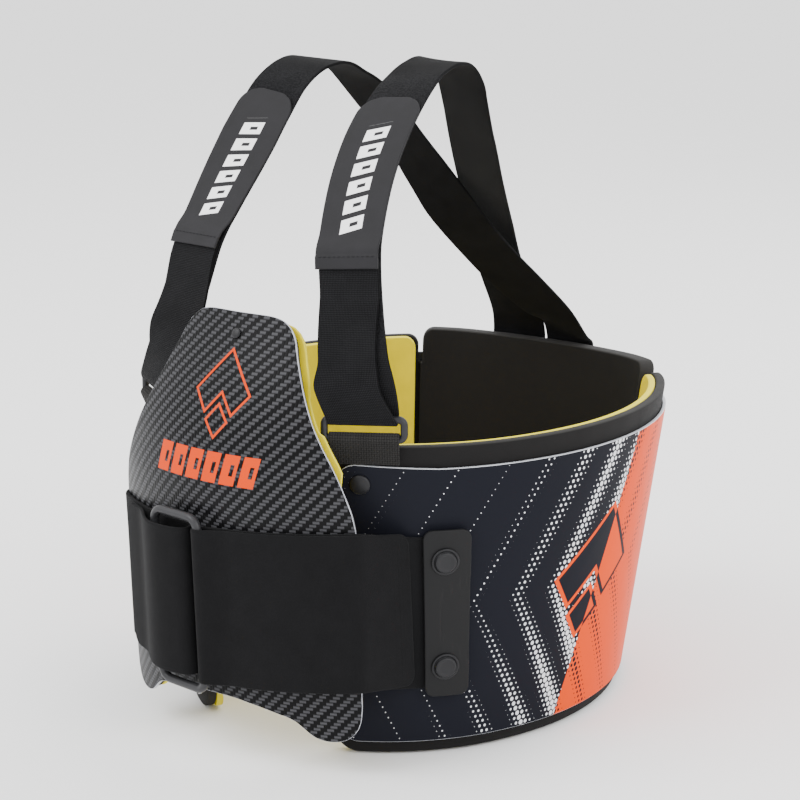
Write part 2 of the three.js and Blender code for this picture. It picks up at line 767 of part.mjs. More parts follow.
function shoulderStrap(name, rows, side) {
  const bar = upperBar(side);
  const barZ = bar.centre[2];
  const easeTop = FOAM_HEIGHT + RING_EASE_TOP;
  const stations = strapStations(rows).map((s) => easeToRing(s, bar));
  const front = [];
  for (const s of stations) {
    if (s.p[2] > FOAM_HEIGHT + FOLD_TOP || s.along[2] < 0.5) break;
    const part = Math.min(1, (s.p[2] - barZ) / (easeTop - barZ));
    const gap = mix(FOLD_RADIUS * 2, STRAP_THICKNESS + 2 * LAYER_GAP, part);
    const moved = add(add(s.p, s.n, gap), s.w, -side * frontShift(s.p[2]));
    front.push({ p: moved, n: s.n, w: s.w });
  }
  front.reverse();
  front.pop();
  const turn = [];
  for (let k = 0; k <= 6; k += 1) {
    const a = rad((180 * k) / 6);
    const out = add([0, 0, -Math.sin(a)], bar.n, Math.cos(a));
    const beside = -side * FRONT_SHIFT[0].reach * (1 - k / 6);
    turn.push({ p: add(add(bar.centre, out, FOLD_RADIUS), bar.w, beside), n: out, w: bar.w });
  }
  const back = stations.slice(1).map((s) => ({ p: s.p, n: add([0, 0, 0], s.n, -1), w: s.w }));
  const all = [...front, ...turn, ...back];
  return mesh(name, stripSolid(all, STRAP_WIDTH, STRAP_THICKNESS, 2), 0x1b1b1c, 0.95, 0);
}

function strapLabel(name, rows, size) {
  const stations = [];
  const steps = 120;
  for (let i = 0; i <= steps; i += 1) {
    const s = strapStation(rows, i / steps);
    if (s.p[1] > -30) break;
    const rise = s.p[2] - FOAM_HEIGHT;
    if (rise >= size.bottom && rise <= size.top) stations.push(s);
  }
  const kept = stations.filter((s, i) => i % 2 === 0);
  const lift = STRAP_THICKNESS / 2 + LAYER_GAP + LABEL_THICKNESS / 2;
  const length = (a, b) => Math.hypot(...add(a, b, -1));
  const end = kept[kept.length - 1];
  const placed = kept.map((s) => {
    const left = length(s.p, end.p);
    const corner = 14;
    const back = Math.max(0, corner - left);
    const cut = corner - Math.sqrt(corner * corner - back * back);
    return { p: add(s.p, s.n, lift), n: s.n, w: s.w, half: LABEL_WIDTH / 2 - cut };
  });
  return mesh(name, stripSolid(placed, LABEL_WIDTH, LABEL_THICKNESS, 2), 0x222224, 0.6, 0);
}

// Short webbing that holds the ring: it comes up from between foam and shell and turns over.
function ringLoop(name, side) {
  const ring = strapRingPlace(side);
  const n = unit([ring.n[0], ring.n[1], 0]);
  const w = unit(cross([0, 0, 1], n));
  const barZ = RING_MIDDLE - STRAP_RING.height / 2 + STRAP_RING.wire / 2;
  const radius = STRAP_RING.wire / 2 + LAYER_GAP + LOOP_THICKNESS / 2 + 0.1;
  const centre = [ring.p[0], ring.p[1], barZ];
  const stations = [];
  const s = ringGirth(side);
  const low = wrapAt(s, shellTop(s) + 0.8, LAYER_GAP * 2 + LOOP_THICKNESS / 2 + 1.4).p;
  const high = add(centre, n, radius);
  for (let k = 3; k >= 1; k -= 1) {
    const p = [0, 1, 2].map((i) => mix(high[i], low[i], k / 3));
    stations.push({ p, n, w });
  }
  for (let k = 0; k <= 6; k += 1) {
    const a = rad((180 * k) / 6);
    const out = add([0, 0, Math.sin(a)], n, Math.cos(a));
    stations.push({ p: add(centre, out, radius), n: out, w });
  }
  return mesh(name, stripSolid(stations, LOOP_WIDTH, LOOP_THICKNESS, 1), 0x202021, 0.8, 0);
}

// The long band: from under the near plate, over the panel, round the ring and back.
function besideBar(which, angle, radius, z) {
  const place = panelAt(BAND_RING.across, BAND_RING.middle, BAND_RING.lift);
  const { side, up } = ringFrame(place);
  const reach = which * (BAND_RING.width / 2 - BAND_RING.wire / 2);
  const bar = add(place.p, side, reach);
  const point = add(bar, up, (z - BAND_RING.middle) / up[2]);
  const inward = add([0, 0, 0], side, -which * Math.sin(angle));
  const out = unit(add(inward, place.n, -Math.cos(angle)));
  return { p: add(point, out, radius), n: add([0, 0, 0], out, -1) };
}

// Place of a band over the panel.
function onPanel(across, z, off) {
  return panelAt(across, z + interpolate(BAND_RISE, 'across', 'rise', across), off);
}

// Band path: along the shell under the plate and over the panel, up to the ring.
function bandPath(side, zs, stop, plateRise) {
  const t = BAND_THICKNESS;
  const column = (placeAt) => zs.map((z) => placeAt(z));
  const path = [];
  const from = HALF_GIRTH - PLATE_AT - PLATE_WIDTH / 2 + 3;
  for (let k = 0; k <= 5; k += 1) {
    const s = side * (from + k * 6.4);
    path.push(column((z) => wrapAt(s, z + plateRise, SHELL_FACE + BAND_LIFT + t / 2)));
  }
  const wrapEnd = path[path.length - 1];
  const panelStart = column((z) => onPanel(side * BAND_PANEL_FROM, z, BAND_LIFT + t / 2));
  for (let k = 1; k < 4; k += 1) {
    path.push(zs.map((z, j) => blend(wrapEnd[j], panelStart[j], k / 4)));
  }
  for (let k = 0; k <= 9; k += 1) {
    const across = mix(side * BAND_PANEL_FROM, stop, k / 9);
    path.push(column((z) => onPanel(across, z, BAND_LIFT + t / 2)));
  }
  return path;
}

const flip = (q) => ({ p: q.p, n: add([0, 0, 0], q.n, -1) });

function closureBandLeft() {
  const t = BAND_THICKNESS;
  const zs = [BAND_BOTTOM, BAND_BOTTOM + BAND_HEIGHT];
  const column = (placeAt) => zs.map((z) => placeAt(z));
  const stop = BAND_RING.across + BAND_RING.width / 2 + 9;
  const path = bandPath(1, zs, stop, BAND_PLATE_RISE);
  const radius = BAND_RING.wire / 2 + LAYER_GAP + t / 2 + 0.1;
  for (let k = 0; k <= 8; k += 1) {
    const a = rad((180 * k) / 8);
    path.push(column((z) => besideBar(1, a, radius, z)));
  }
  const off = BAND_LIFT + t * 1.5 + BAND_LAYER_GAP;
  for (let k = 1; k <= 9; k += 1) {
    const across = mix(stop, BAND_PANEL_FROM, k / 9);
    path.push(column((z) => flip(onPanel(across, z, off))));
  }
  const end = path[path.length - 1];
  const flapS = HALF_GIRTH - PLATE_AT + PLATE_WIDTH / 2 + BAND_FLAP.past;
  const flap = column((z) => {
    const s = flapS + BAND_FLAP.lean * (z - BAND_RING.middle);
    return flip(wrapAt(s, z + BAND_FLAP.rise, SHELL_FACE + off));
  });
  for (let k = 1; k <= 4; k += 1) {
    path.push(zs.map((z, j) => blend(end[j], flap[j], k / 4)));
  }
  return mesh('closure_band_left', ribbonSolid(path, t), 0x1d1d1e, 0.95, 0);
}

function blend(a, b, f) {
  return {
    p: [0, 1, 2].map((i) => mix(a.p[i], b.p[i], f)),
    n: unit([0, 1, 2].map((i) => mix(a.n[i], b.n[i], f))),
  };
}

function ribbonSolid(path, thickness) {
  const half = thickness / 2;
  const inner = path.map((column) => column.map((q) => add(q.p, q.n, -half)));
  const outer = path.map((column) => column.map((q) => add(q.p, q.n, half)));
  return sheetSolid(inner, outer);
}

// The short band on the other side: a slack roll round the ring's far bar, laid back on itself.
function closureBandRight() {
  const t = BAND_THICKNESS;
  const middle = BAND_RING.middle + 1;
  const zs = [middle - ROLL_HEIGHT / 2, middle + ROLL_HEIGHT / 2];
  const column = (placeAt) => zs.map((z) => placeAt(z));
  const bar = BAND_RING.across - BAND_RING.width / 2 + BAND_RING.wire / 2;
  const low = BAND_LIFT + t / 2;
  const over = BAND_RING.lift + BAND_RING.wire / 2 + LAYER_GAP + t / 2 + 0.4;
  const radius = (over - low) / 2;
  const edge = bar + ROLL_SLACK - radius;
  const path = bandPath(-1, zs, edge, 0);
  for (let k = 1; k <= 8; k += 1) {
    const a = rad((180 * k) / 8);
    const across = edge + radius * Math.sin(a);
    const off = low + radius * (1 - Math.cos(a));
    path.push(column((z) => leaned(across, z, off, a)));
  }
  const laid = BAND_LIFT + t * 1.5 + BAND_LAYER_GAP;
  const foot = bar - 22;
  for (let k = 1; k <= 8; k += 1) {
    const across = mix(edge, foot, k / 8);
    const crown = (ROLL_CROWN - over) * Math.sin((Math.PI * k) / 8);
    const fall = (1 - Math.cos((Math.PI * k) / 8)) / 2;
    const off = mix(over, laid, fall * fall) + crown;
    path.push(column((z) => flip(panelAt(across, z, off))));
  }
  for (let k = 1; k <= 2; k += 1) {
    path.push(column((z) => flip(panelAt(foot - (k * (ROLL_BACK - 10)) / 2, z, laid))));
  }
  return mesh('closure_band_right', ribbonSolid(path, t), 0x1d1d1e, 0.95, 0);
}

// Place over the panel with the thickness direction turned by an angle towards the roll's edge.
function leaned(across, z, off, angle) {
  const { p, n } = panelAt(across, z, off);
  const side = unit(cross([0, 0, 1], n));
  const turned = add(add([0, 0, 0], n, Math.cos(angle)), side, -Math.sin(angle));
  return { p, n: unit(turned) };
}

const root = new THREE.Group();
root.name = 'rib_protector';
root.add(foamWrap());
root.add(liner('liner_left', 1));
root.add(liner('liner_right', -1));
root.add(outerShell());
root.add(frontPanel());
root.add(frontPad());
root.add(frontPadLiner());
root.add(panelRivet());
for (const [label, side] of [
  ['left', 1],
  ['right', -1],
]) {
  root.add(rivetPlate(`rivet_plate_${label}`, side));
  root.add(plateRivet(`plate_rivet_upper_${label}`, side, 1));
  root.add(plateRivet(`plate_rivet_lower_${label}`, side, -1));
  root.add(domeRivet(`dome_rivet_${label}`, side));
  root.add(strapRing(`strap_ring_${label}`, side));
  root.add(ringLoop(`ring_loop_${label}`, side));
}
root.add(bandRing());
const LEFT_ROWS = strapRows(STRAP_LEFT_PATH, 1, STRAP_BACK.left);
const RIGHT_ROWS = strapRows(STRAP_RIGHT_PATH, -1, STRAP_BACK.right);
root.add(closureBandLeft());
root.add(closureBandRight());
root.add(shoulderStrap('strap_left', LEFT_ROWS, 1));
root.add(shoulderStrap('strap_right', RIGHT_ROWS, -1));
root.add(strapLabel('strap_label_left', LEFT_ROWS, LABEL_LEFT));
root.add(strapLabel('strap_label_right', RIGHT_ROWS, LABEL_RIGHT));

export default root;
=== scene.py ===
import math

import bpy
import numpy as np
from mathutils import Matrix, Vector


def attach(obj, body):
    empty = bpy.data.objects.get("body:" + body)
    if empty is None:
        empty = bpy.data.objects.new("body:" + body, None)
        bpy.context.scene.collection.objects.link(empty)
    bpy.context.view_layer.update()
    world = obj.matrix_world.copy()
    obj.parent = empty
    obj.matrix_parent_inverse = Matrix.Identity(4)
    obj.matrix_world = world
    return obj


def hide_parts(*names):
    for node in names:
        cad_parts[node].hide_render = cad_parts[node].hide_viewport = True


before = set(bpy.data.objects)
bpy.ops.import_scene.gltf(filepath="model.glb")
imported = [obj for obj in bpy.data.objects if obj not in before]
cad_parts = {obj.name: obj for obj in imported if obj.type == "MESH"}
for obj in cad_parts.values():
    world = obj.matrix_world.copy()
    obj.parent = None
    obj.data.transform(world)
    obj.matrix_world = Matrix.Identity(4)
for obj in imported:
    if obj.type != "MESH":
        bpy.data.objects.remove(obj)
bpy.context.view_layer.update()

# Sizes are in millimetres, with height 0 at the lower edge of the foam wrap, as in the CAD source.
# The front faces -Y and the wearer's left is +X. SEAT is the frame's origin in those sizes.
MM = 0.001
SEAT = np.array([0.0, -32.0, 400.0])

PLAN_ARCS = ((350, 10.5), (86, 44), (201, 58.5), (151, 67))
FOAM_HEIGHT = 195
TAPER = 0.128
FRONT_LEAN = 0.03
FOAM_THICKNESS = 6
LINER_THICKNESS = 4.5
LAYER_GAP = 0.3
FRONT_OPENING = 122
FOAM_CORNER = 20
BACK_PANEL_HEIGHT = 200
BACK_SLOT = {"at": 103, "width": 3.4, "depth": 19}
TAB_CORNER = 8
LINER_BACK_AT = 107
LINER_FRONT_INSET = 4
LINER_CORNER = 9
LINER_INSET = 0.6
SHELL = {"thickness": 2.5, "bottom": 8, "top": 181.5, "front_inset": 8, "corner": 12}
# The shell's upper edge rises towards its front ends.
SHELL_RISE = {"from": 130, "to": 70, "rise": 3.4}

PANEL_RADIUS = 165
PANEL_THICKNESS = 2.2
# Half width across the face, lower edge, upper edge.
PANEL_OUTLINE = (
    (0, 39.5, 267),
    (16, 39.2, 267),
    (25, 38, 266.6),
    (32, 37, 265),
    (37, 36, 262),
    (41, 35.2, 258),
    (44, 34.5, 253),
    (47, 33.8, 246),
    (51, 33, 238),
    (57, 30.5, 226.5),
    (63, 26, 216),
    (68, 22.5, 208),
    (74, 20.6, 199),
    (80, 20.3, 190),
    (86, 21.4, 180),
    (91, 24.5, 170),
    (94.5, 29, 161),
    (96.5, 35, 152),
    (97.2, 42, 145),
)
PANEL_REACH = PANEL_OUTLINE[-1][0]
# Height and where the panel's middle line stands at that height.
PANEL_LEAN = (
    (15, -183),
    (65, -185),
    (115, -187),
    (165, -189),
    (190, -186),
    (205, -182.5),
    (225, -175),
    (254, -162),
    (270, -155),
)
PAD_THICKNESS = 3
PAD_LINER_THICKNESS = 2.4
PAD_GAP = 0.8
PAD_INSET = 1.5
PAD_LINER_OVERHANG = 4
PAD_LINER_REACH = 87
PAD_LINER_NOTCH = {"across": 64, "half": 5, "overhang": 1.5}
PANEL_RIVET = {"across": 2, "height": 255, "radius": 3.2, "tall": 1.4}

BAND_THICKNESS = 2.2
BAND_BOTTOM = 49
BAND_HEIGHT = 96
BAND_LIFT = 0.5
BAND_LAYER_GAP = 1.4
# Middle of the band's thickness over what it lies on, once and folded back on itself.
BAND_LOW = BAND_LIFT + BAND_THICKNESS / 2
BAND_LAID = BAND_LIFT + BAND_THICKNESS * 1.5 + BAND_LAYER_GAP
BAND_PANEL_FROM = 98
BAND_FLAP = {"past": 7.6, "lean": 0.075, "rise": -1.5}
BAND_PLATE_RISE = -5
RIVET_AHEAD = 1.5
RIVET_LIFT = LAYER_GAP + 0.2
# Place across the panel, and how far the long band rises there.
BAND_RISE = ((14, 0), (98, 5))
ROLL_HEIGHT = 92
ROLL_SLACK = 30
ROLL_CROWN = 16.5
ROLL_FOOT = 22
ROLL_TAIL = 20
PLATE = {"thickness": 2.6, "width": 29, "height": 106, "bottom": 39, "at": 137.1, "corner": 6}
PLATE_MIDDLE = PLATE["bottom"] + PLATE["height"] / 2
PLATE_LEAN = 0.055
RIVET_HEAD = {"radius": 6.4, "tall": 1.5}
RIVET_PITCH = 67
RIVET_FLANGE = {"radius": 8.4, "tall": 0.7}
DOME_RIVET = {"at": 83, "height": 172.5, "radius": 6, "tall": 2.2}
# Slack between a ring's bar and what is folded round it.
BAR_SLACK = 0.1
BAND_RING = {"width": 44, "height": 112, "wire": 5.4, "across": -17, "middle": 97, "lift": 8.2}

STRAP_WIDTH = 40
STRAP_THICKNESS = 2
# Middle line of each strap: x, y, and height above the foam wrap's upper edge.
STRAP_LEFT_PATH = (
    (84, -146, 37),
    (80, -147.5, 71),
    (76.5, -146.5, 105),
    (74, -141.5, 125),
    (70, -126, 155),
    (66, -103, 182),
    (62, -72, 205),
    (60, -43, 213),
    (55, -19, 202),
    (42, 9, 173),
    (22, 46, 138),
    (0, 88, 101),
    (-16, 121, 67),
    (-27, 157, 27),
)
STRAP_RIGHT_PATH = (
    (-78.5, -138, 41),
    (-75.5, -125, 68),
    (-73.5, -110, 103),
    (-72, -97, 123),
    (-70, -79, 148),
    (-66, -60, 176),
    (-63, -43, 196),
    (-60, -21, 206),
    (-57, 6, 201),
    (-48, 31, 177),
    (-25, 49, 135),
    (-10, 66.5, 102),
    (0, 99.5, 67),
    (10.7, 146, 27),
)
STRAP_BACK = {1: -31, -1: 10.2}
STRAP_BACK_RISES = (7, -11, -37, -65)
STRAP_BACK_LIFT = 1.4
FACE_SPREAD = {"front": 0.17, "back": 1.0, "front_y": -70, "back_y": -12}
# Depth, and how far the left and the right strap's face leans to the wearer's left there.
FACE_LEAN = (
    (-112, 0, 0),
    (-80, -12, 25),
    (-50, -28, 45),
    (-20, -12, 62),
    (10, 0, 62),
    (35, 0, 25),
    (60, 0, 0),
)
RING_EASE_TOP = FOAM_HEIGHT + 51
# Height above the foam, and how far the front layer lies towards the middle of the chest there.
FRONT_SHIFT = ((15, 1.4), (22, 2.5), (37, 8.5), (60, 5.5), (90, 0))
# How far the front layer's end reaches up under the label.
FRONT_LAYER_HID = 6
LABEL_WIDTH = 42
LABEL_THICKNESS = 1.2
LABEL_CORNER = 14
LABEL_ENDS = {1: (104, 194), -1: (97, 188)}
STRAP_RING = {"width": 50.6, "height": 16.4, "wire": 4.4, "middle": FOAM_HEIGHT + 11.5, "off": 3.7}
STRAP_RING_AT = {1: 85.5, -1: 85.5}
LOOP_WIDTH = 41
LOOP_THICKNESS = 1.6
SIDES = {1: "left", -1: "right"}

# The camera stands where the photograph was taken from.
CAMERA_AT = (0.8974, -1.1007, 0.1189)
CAMERA_TARGET = (-0.0133, 0.0426, -0.2182)
CAMERA_LENS = 103.55
FLOOR_HEIGHT = -0.4012
FLOOR_HALF = 12
FLOOR_COLOUR = (0.9, 0.9, 0.9)
WORLD_STRENGTH = 2.0
LIGHT_TARGET = (0, 0, -0.2)
# Name, place, width, height and power.
LIGHTS = (
    ("key", (-0.9, -1.6, 1.5), 1.4, 1.4, 44),
    ("fill", (1.9, -0.4, 0.7), 1.2, 1.6, 22),
    ("rim", (0.2, 1.7, 1.4), 1.6, 1.0, 24),
)


def unit(a):
    return a / np.linalg.norm(a, axis=-1, keepdims=True)


def level_axes(n):
    """The level direction and the upward one on a face with the given normal."""
    side = unit(np.cross([0, 0, 1], n))
    return side, unit(np.cross(n, side))


def lengths(points):
    """Length so far at each point of a line."""
    steps = np.linalg.norm(np.diff(points, axis=0), axis=1)
    return np.concatenate([[0], np.cumsum(steps)])


def rounded_off(reach, radius):
    """How far a round corner falls back at a distance from its end, 0 beyond its radius."""
    inside = np.clip(reach, 0, radius)
    return radius - np.sqrt(radius**2 - (radius - inside) ** 2)


def plan_chain():
    """Rows of radius, start angle, start point and start length, then half girth, depth and closing."""
    rows = []
    angle = x = y = start = 0.0
    for radius, turn in PLAN_ARCS:
        end = angle + math.radians(turn)
        rows.append((radius, angle, x, y, start))
        x += radius * (math.sin(end) - math.sin(angle))
        y += radius * (math.cos(end) - math.cos(angle))
        start += radius * (end - angle)
        angle = end
    return np.array(rows), start, -y, x


PLAN_ROWS, HALF_GIRTH, PLAN_DEPTH, PLAN_CLOSING = plan_chain()
FRONT_END = HALF_GIRTH - FRONT_OPENING / 2
SHELL_FACE = LAYER_GAP + SHELL["thickness"]
PLATE_FACE = SHELL_FACE + BAND_LIFT + BAND_THICKNESS + LAYER_GAP * 1.5 + PLATE["thickness"]
FOLD_RADIUS = STRAP_RING["wire"] / 2 + LAYER_GAP + STRAP_THICKNESS / 2 + BAR_SLACK


def together(*values):
    return np.broadcast_arrays(*(np.asarray(v, float) for v in values))


def wrap_at(s, z, off):
    """Points and outward normals on the wrap: s along the girth from mid back, height, off outward."""
    s, z, off = together(s, z, off)
    along = np.minimum(np.abs(s), HALF_GIRTH)
    row = PLAN_ROWS[np.searchsorted(PLAN_ROWS[:, 4], along, side="right") - 1]
    radius, start_angle, x0, y0, start = (row[..., k] for k in range(5))
    angle = start_angle + (along - start) / radius
    drop = FOAM_HEIGHT - z
    out = off - TAPER * drop
    x = x0 + radius * (np.sin(angle) - np.sin(start_angle)) - PLAN_CLOSING * along / HALF_GIRTH
    y = y0 + radius * (np.cos(angle) - np.cos(start_angle)) + PLAN_DEPTH / 2
    side = np.where(s < 0, -1.0, 1.0)
    nx = np.sin(angle)
    ny = np.cos(angle)
    points = np.stack([side * (x + nx * out), y + ny * out - FRONT_LEAN * drop, z], -1)
    return points, unit(np.stack([side * nx, ny, np.full_like(nx, -TAPER)], -1))


def curve(rows, at, value=1):
    """Smooth curve through table rows, from their first column to the named one."""
    table = np.array(rows, float)
    keys = table[:, 0]
    values = table[:, value]
    at = np.asarray(at, float)
    last = len(keys) - 1
    i = np.clip(np.searchsorted(keys, at, side="left") - 1, 0, last - 1)
    before = np.maximum(i - 1, 0)
    after = np.minimum(i + 2, last)
    span = keys[i + 1] - keys[i]
    t = (at - keys[i]) / span
    m1 = (values[i + 1] - values[before]) / (keys[i + 1] - keys[before]) * span
    m2 = (values[after] - values[i]) / (keys[after] - keys[i]) * span
    t2 = t * t
    t3 = t2 * t
    start = (2 * t3 - 3 * t2 + 1) * values[i] + (t3 - 2 * t2 + t) * m1
    return start + (-2 * t3 + 3 * t2) * values[i + 1] + (t3 - t2) * m2


def panel_at(across, z, off):
    """Points and outward normals on the front panel's outer face."""
    across, z, off = together(across, z, off)
    front = curve(PANEL_LEAN, z)
    slope = (curve(PANEL_LEAN, z + 2) - front) / 2
    angle = across / PANEL_RADIUS
    normal = unit(np.stack([np.sin(angle), -np.cos(angle), slope], -1))
    x = PANEL_RADIUS * np.sin(angle)
    y = front + PANEL_RADIUS * (1 - np.cos(angle))
    return np.stack([x, y, z], -1) + normal * off[..., None], normal


# Meshes

EDGE_STEPS = np.array([0, 0.1, 0.3, 0.6, 1.0, 1.6])
CORNER_POINTS = 12
POINTS_AT_ONCE = 2000
TUBE_SIDES = 20
HEAD_SIDES = 48
# Rounding of each sheet's edges, and how many even rows its grid has between them.
ROUNDING = {
    "foam": 1.3, "liner": 1.0, "shell": 0.45, "panel": 0.5, "pad": 0.9, "pad_liner": 0.7,
    "plate": 0.7, "band": 0.9, "strap": 0.7, "label": 0.5, "loop": 0.6,
}
ROWS = {
    "foam": 34, "wrap": 30, "panel": 70, "pad": 60, "band": 36, "strap": 10, "label": 14, "loop": 12,
}
# How far in from the outline the cut edge's material reaches: the edge's own paler colour, and a painted
# highlight along it.
CUT_EDGE_AND_HIGHLIGHT = {"shell": 0.35, "panel": 0.4}


def column_rows(bottom, top, count):
    """Heights of each column's points, closer together at both ends, where the edge is rounded."""
    low = np.asarray(bottom, float)[:, None] + EDGE_STEPS
    high = np.asarray(top, float)[:, None] - EDGE_STEPS[::-1]
    share = np.linspace(0, 1, count + 2)[1:-1]
    middle = low[:, -1:] + (high[:, :1] - low[:, -1:]) * share
    return np.hstack([low, middle, high])


def rounded_columns(start, end, corner, step):
    """Places from one end to the other, and how much each is cut for the round corners."""
    turn = np.linspace(0, np.pi / 2, CORNER_POINTS)
    reach = corner * (1 - np.cos(turn))
    cut = corner * (1 - np.sin(turn))
    inside = end - start - 2 * corner
    middle = np.linspace(start + corner, end - corner, max(2, round(inside / step)) + 1)[1:-1]
    places = np.concatenate([start + reach, middle, (end - reach)[::-1]])
    return places, np.concatenate([cut, np.zeros(len(middle)), cut[::-1]])


def rim_of(grid):
    """A grid's outermost rows and columns as one loop."""
    return np.concatenate([grid[:, 0], grid[-1, 1:], grid[-2::-1, -1], grid[0, -2:0:-1]])


def outline_distance(flat):
    """Distance of each grid point from the outline of its sheet, measured on the flat."""
    rim = rim_of(flat)
    ahead = np.roll(rim, -1, axis=0) - rim
    length = np.maximum((ahead**2).sum(1), 1e-12)
    points = flat.reshape(-1, 2)
    nearest = np.empty(len(points))
    for first in range(0, len(points), POINTS_AT_ONCE):
        part = slice(first, first + POINTS_AT_ONCE)
        away = points[part, None] - rim
        t = np.clip((away * ahead).sum(2) / length, 0, 1)
        nearest[part] = np.sqrt(((away - t[..., None] * ahead) ** 2).sum(2)).min(1)
    return nearest.reshape(flat.shape[:2])


def grid_faces(nu, nv):
    """Quads of two matching grids, the outer first, and of the rim between them, in three groups."""
    index = np.arange(nu * nv).reshape(nu, nv)
    corners = [index[:-1, :-1], index[1:, :-1], index[1:, 1:], index[:-1, 1:]]
    face = np.stack(corners, -1).reshape(-1, 4)
    rim = rim_of(index)
    after = np.roll(rim, -1)
    around = np.stack([after, rim, rim + nu * nv, after + nu * nv], -1)
    return face, face[:, ::-1] + nu * nv, around


def ring_quads(index):
    """Quads between neighbouring rings. The index's last axis runs round each ring."""
    after = np.roll(index, -1, -1)
    corners = [index[..., :-1, :], after[..., :-1, :], after[..., 1:, :], index[..., 1:, :]]
    return np.stack(corners, -1).reshape(-1, 4)


def link_mesh(name, points, faces, looks, face_looks=None):
    """A mesh object from points in millimetres, in the frame's place, all of it shaded smooth."""
    mesh = bpy.data.meshes.new(name)
    placed = (np.asarray(points).reshape(-1, 3) - SEAT) * MM
    mesh.from_pydata(placed.tolist(), [], faces)
    for look in looks:
        mesh.materials.append(LOOKS[look])
    if face_looks is not None:
        mesh.polygons.foreach_set("material_index", np.asarray(face_looks, np.int32))
    mesh.polygons.foreach_set("use_smooth", np.ones(len(mesh.polygons), bool))
    mesh.validate()
    made = bpy.data.objects.new(name, mesh)
    bpy.context.scene.collection.objects.link(made)
    return made


def add_piece(node, points, faces, looks, face_looks=None):
    """The mesh object that replaces a node of the frame."""
    made = link_mesh(f"{node}_form", points, faces, looks, face_looks)
    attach(made, "root")
    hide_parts(node)
    return made


def add_flat(made, flat, edge):
    """The flat sheet's own measures on a mesh, in metres: a UV map, and the distance to its outline."""
    mesh = made.data
    layer = mesh.uv_layers.new(name="flat")
    corner = np.zeros(len(mesh.loops), np.int32)
    mesh.loops.foreach_get("vertex_index", corner)
    layer.data.foreach_set("uv", (flat.reshape(-1, 2)[corner] * MM).astype(np.float32).ravel())
    attribute = mesh.attributes.new("edge", "FLOAT", "POINT")
    attribute.data.foreach_set("value", (edge.ravel() * MM).astype(np.float32))


def outward(points, faces):
    """The same faces, all turned round if they enclose a negative volume."""
    a, b, c, d = (points[faces[:, k]] for k in range(4))
    volume = (a * np.cross(b, c)).sum() + (a * np.cross(c, d)).sum()
    return faces if volume > 0 else faces[:, ::-1]


def two_faced(node, outer, inner, flat, edge, looks):
    """A closed piece from its outer and inner grids, with the flat sheet's measures on both."""
    points = np.concatenate([outer.reshape(-1, 3), inner.reshape(-1, 3)])
    groups = grid_faces(*flat.shape[:2])
    last = len(looks) - 1
    face_looks = np.repeat([0, last, min(1, last)], [len(group) for group in groups])
    faces = outward(points, np.concatenate(groups))
    made = add_piece(node, points, faces.tolist(), looks, face_looks)
    add_flat(made, np.concatenate([flat, flat]), np.concatenate([edge, edge]))
    return made


def sheet_mesh(node, place, flat, thickness, rounding, looks, relief=0.0, mid=0.0):
    """A closed sheet with rounded edges. place(off) gives its points, off outward from its own face."""
    edge = outline_distance(flat)
    half = thickness / 2 - rounded_off(edge, rounding)
    return two_faced(node, place(mid + half + relief), place(mid - half), flat, edge, looks)


def ribbon_mesh(node, line, across, thickness, rounding, looks, relief=0.0):
    """A flat strip along a line of stations (point, normal, width direction, length so far)."""
    p, n, w, run = line
    flat = np.stack([np.broadcast_to(run[:, None], across.shape), across], -1)

    def place(off):
        return p[:, None] + w[:, None] * across[..., None] + n[:, None] * off[..., None]

    return sheet_mesh(node, place, flat, thickness, rounding, looks, relief)


def tube_mesh(node, points, radius, look):
    """A closed tube round a loop of points that lie in one plane."""
    count = len(points)
    middle = points.mean(0)
    flat = unit(np.cross(points[0] - middle, points[count // 5] - middle))
    ahead = unit(np.roll(points, -1, 0) - np.roll(points, 1, 0))
    out = unit(np.cross(ahead, flat))
    a = np.linspace(0, 2 * np.pi, TUBE_SIDES, endpoint=False)
    ring = out[:, None] * np.cos(a)[None, :, None] + flat * np.sin(a)[None, :, None]
    vertices = (points[:, None] + radius * ring).reshape(-1, 3)
    index = np.arange(len(vertices)).reshape(count, TUBE_SIDES)
    after = np.roll(index, -1, 0)
    faces = np.stack([index, after, np.roll(after, -1, 1), np.roll(index, -1, 1)], -1).reshape(-1, 4)
    return add_piece(node, vertices, outward(vertices, faces).tolist(), [look])


def head_mesh(node, place, rows):
    """A round metal head on a surface, from rows of radius and rise."""
    p, n = place
    side, up = level_axes(n)
    a = np.linspace(0, 2 * np.pi, HEAD_SIDES, endpoint=False)
    spoke = side * np.cos(a)[:, None] + up * np.sin(a)[:, None]
    points = np.concatenate([p + spoke * radius + n * rise for radius, rise in rows])
    index = np.arange(len(points)).reshape(len(rows), HEAD_SIDES)
    faces = [*ring_quads(index).tolist(), index[0, ::-1].tolist(), index[-1].tolist()]
    return add_piece(node, points, faces, ["rivet_metal"])


# Materials


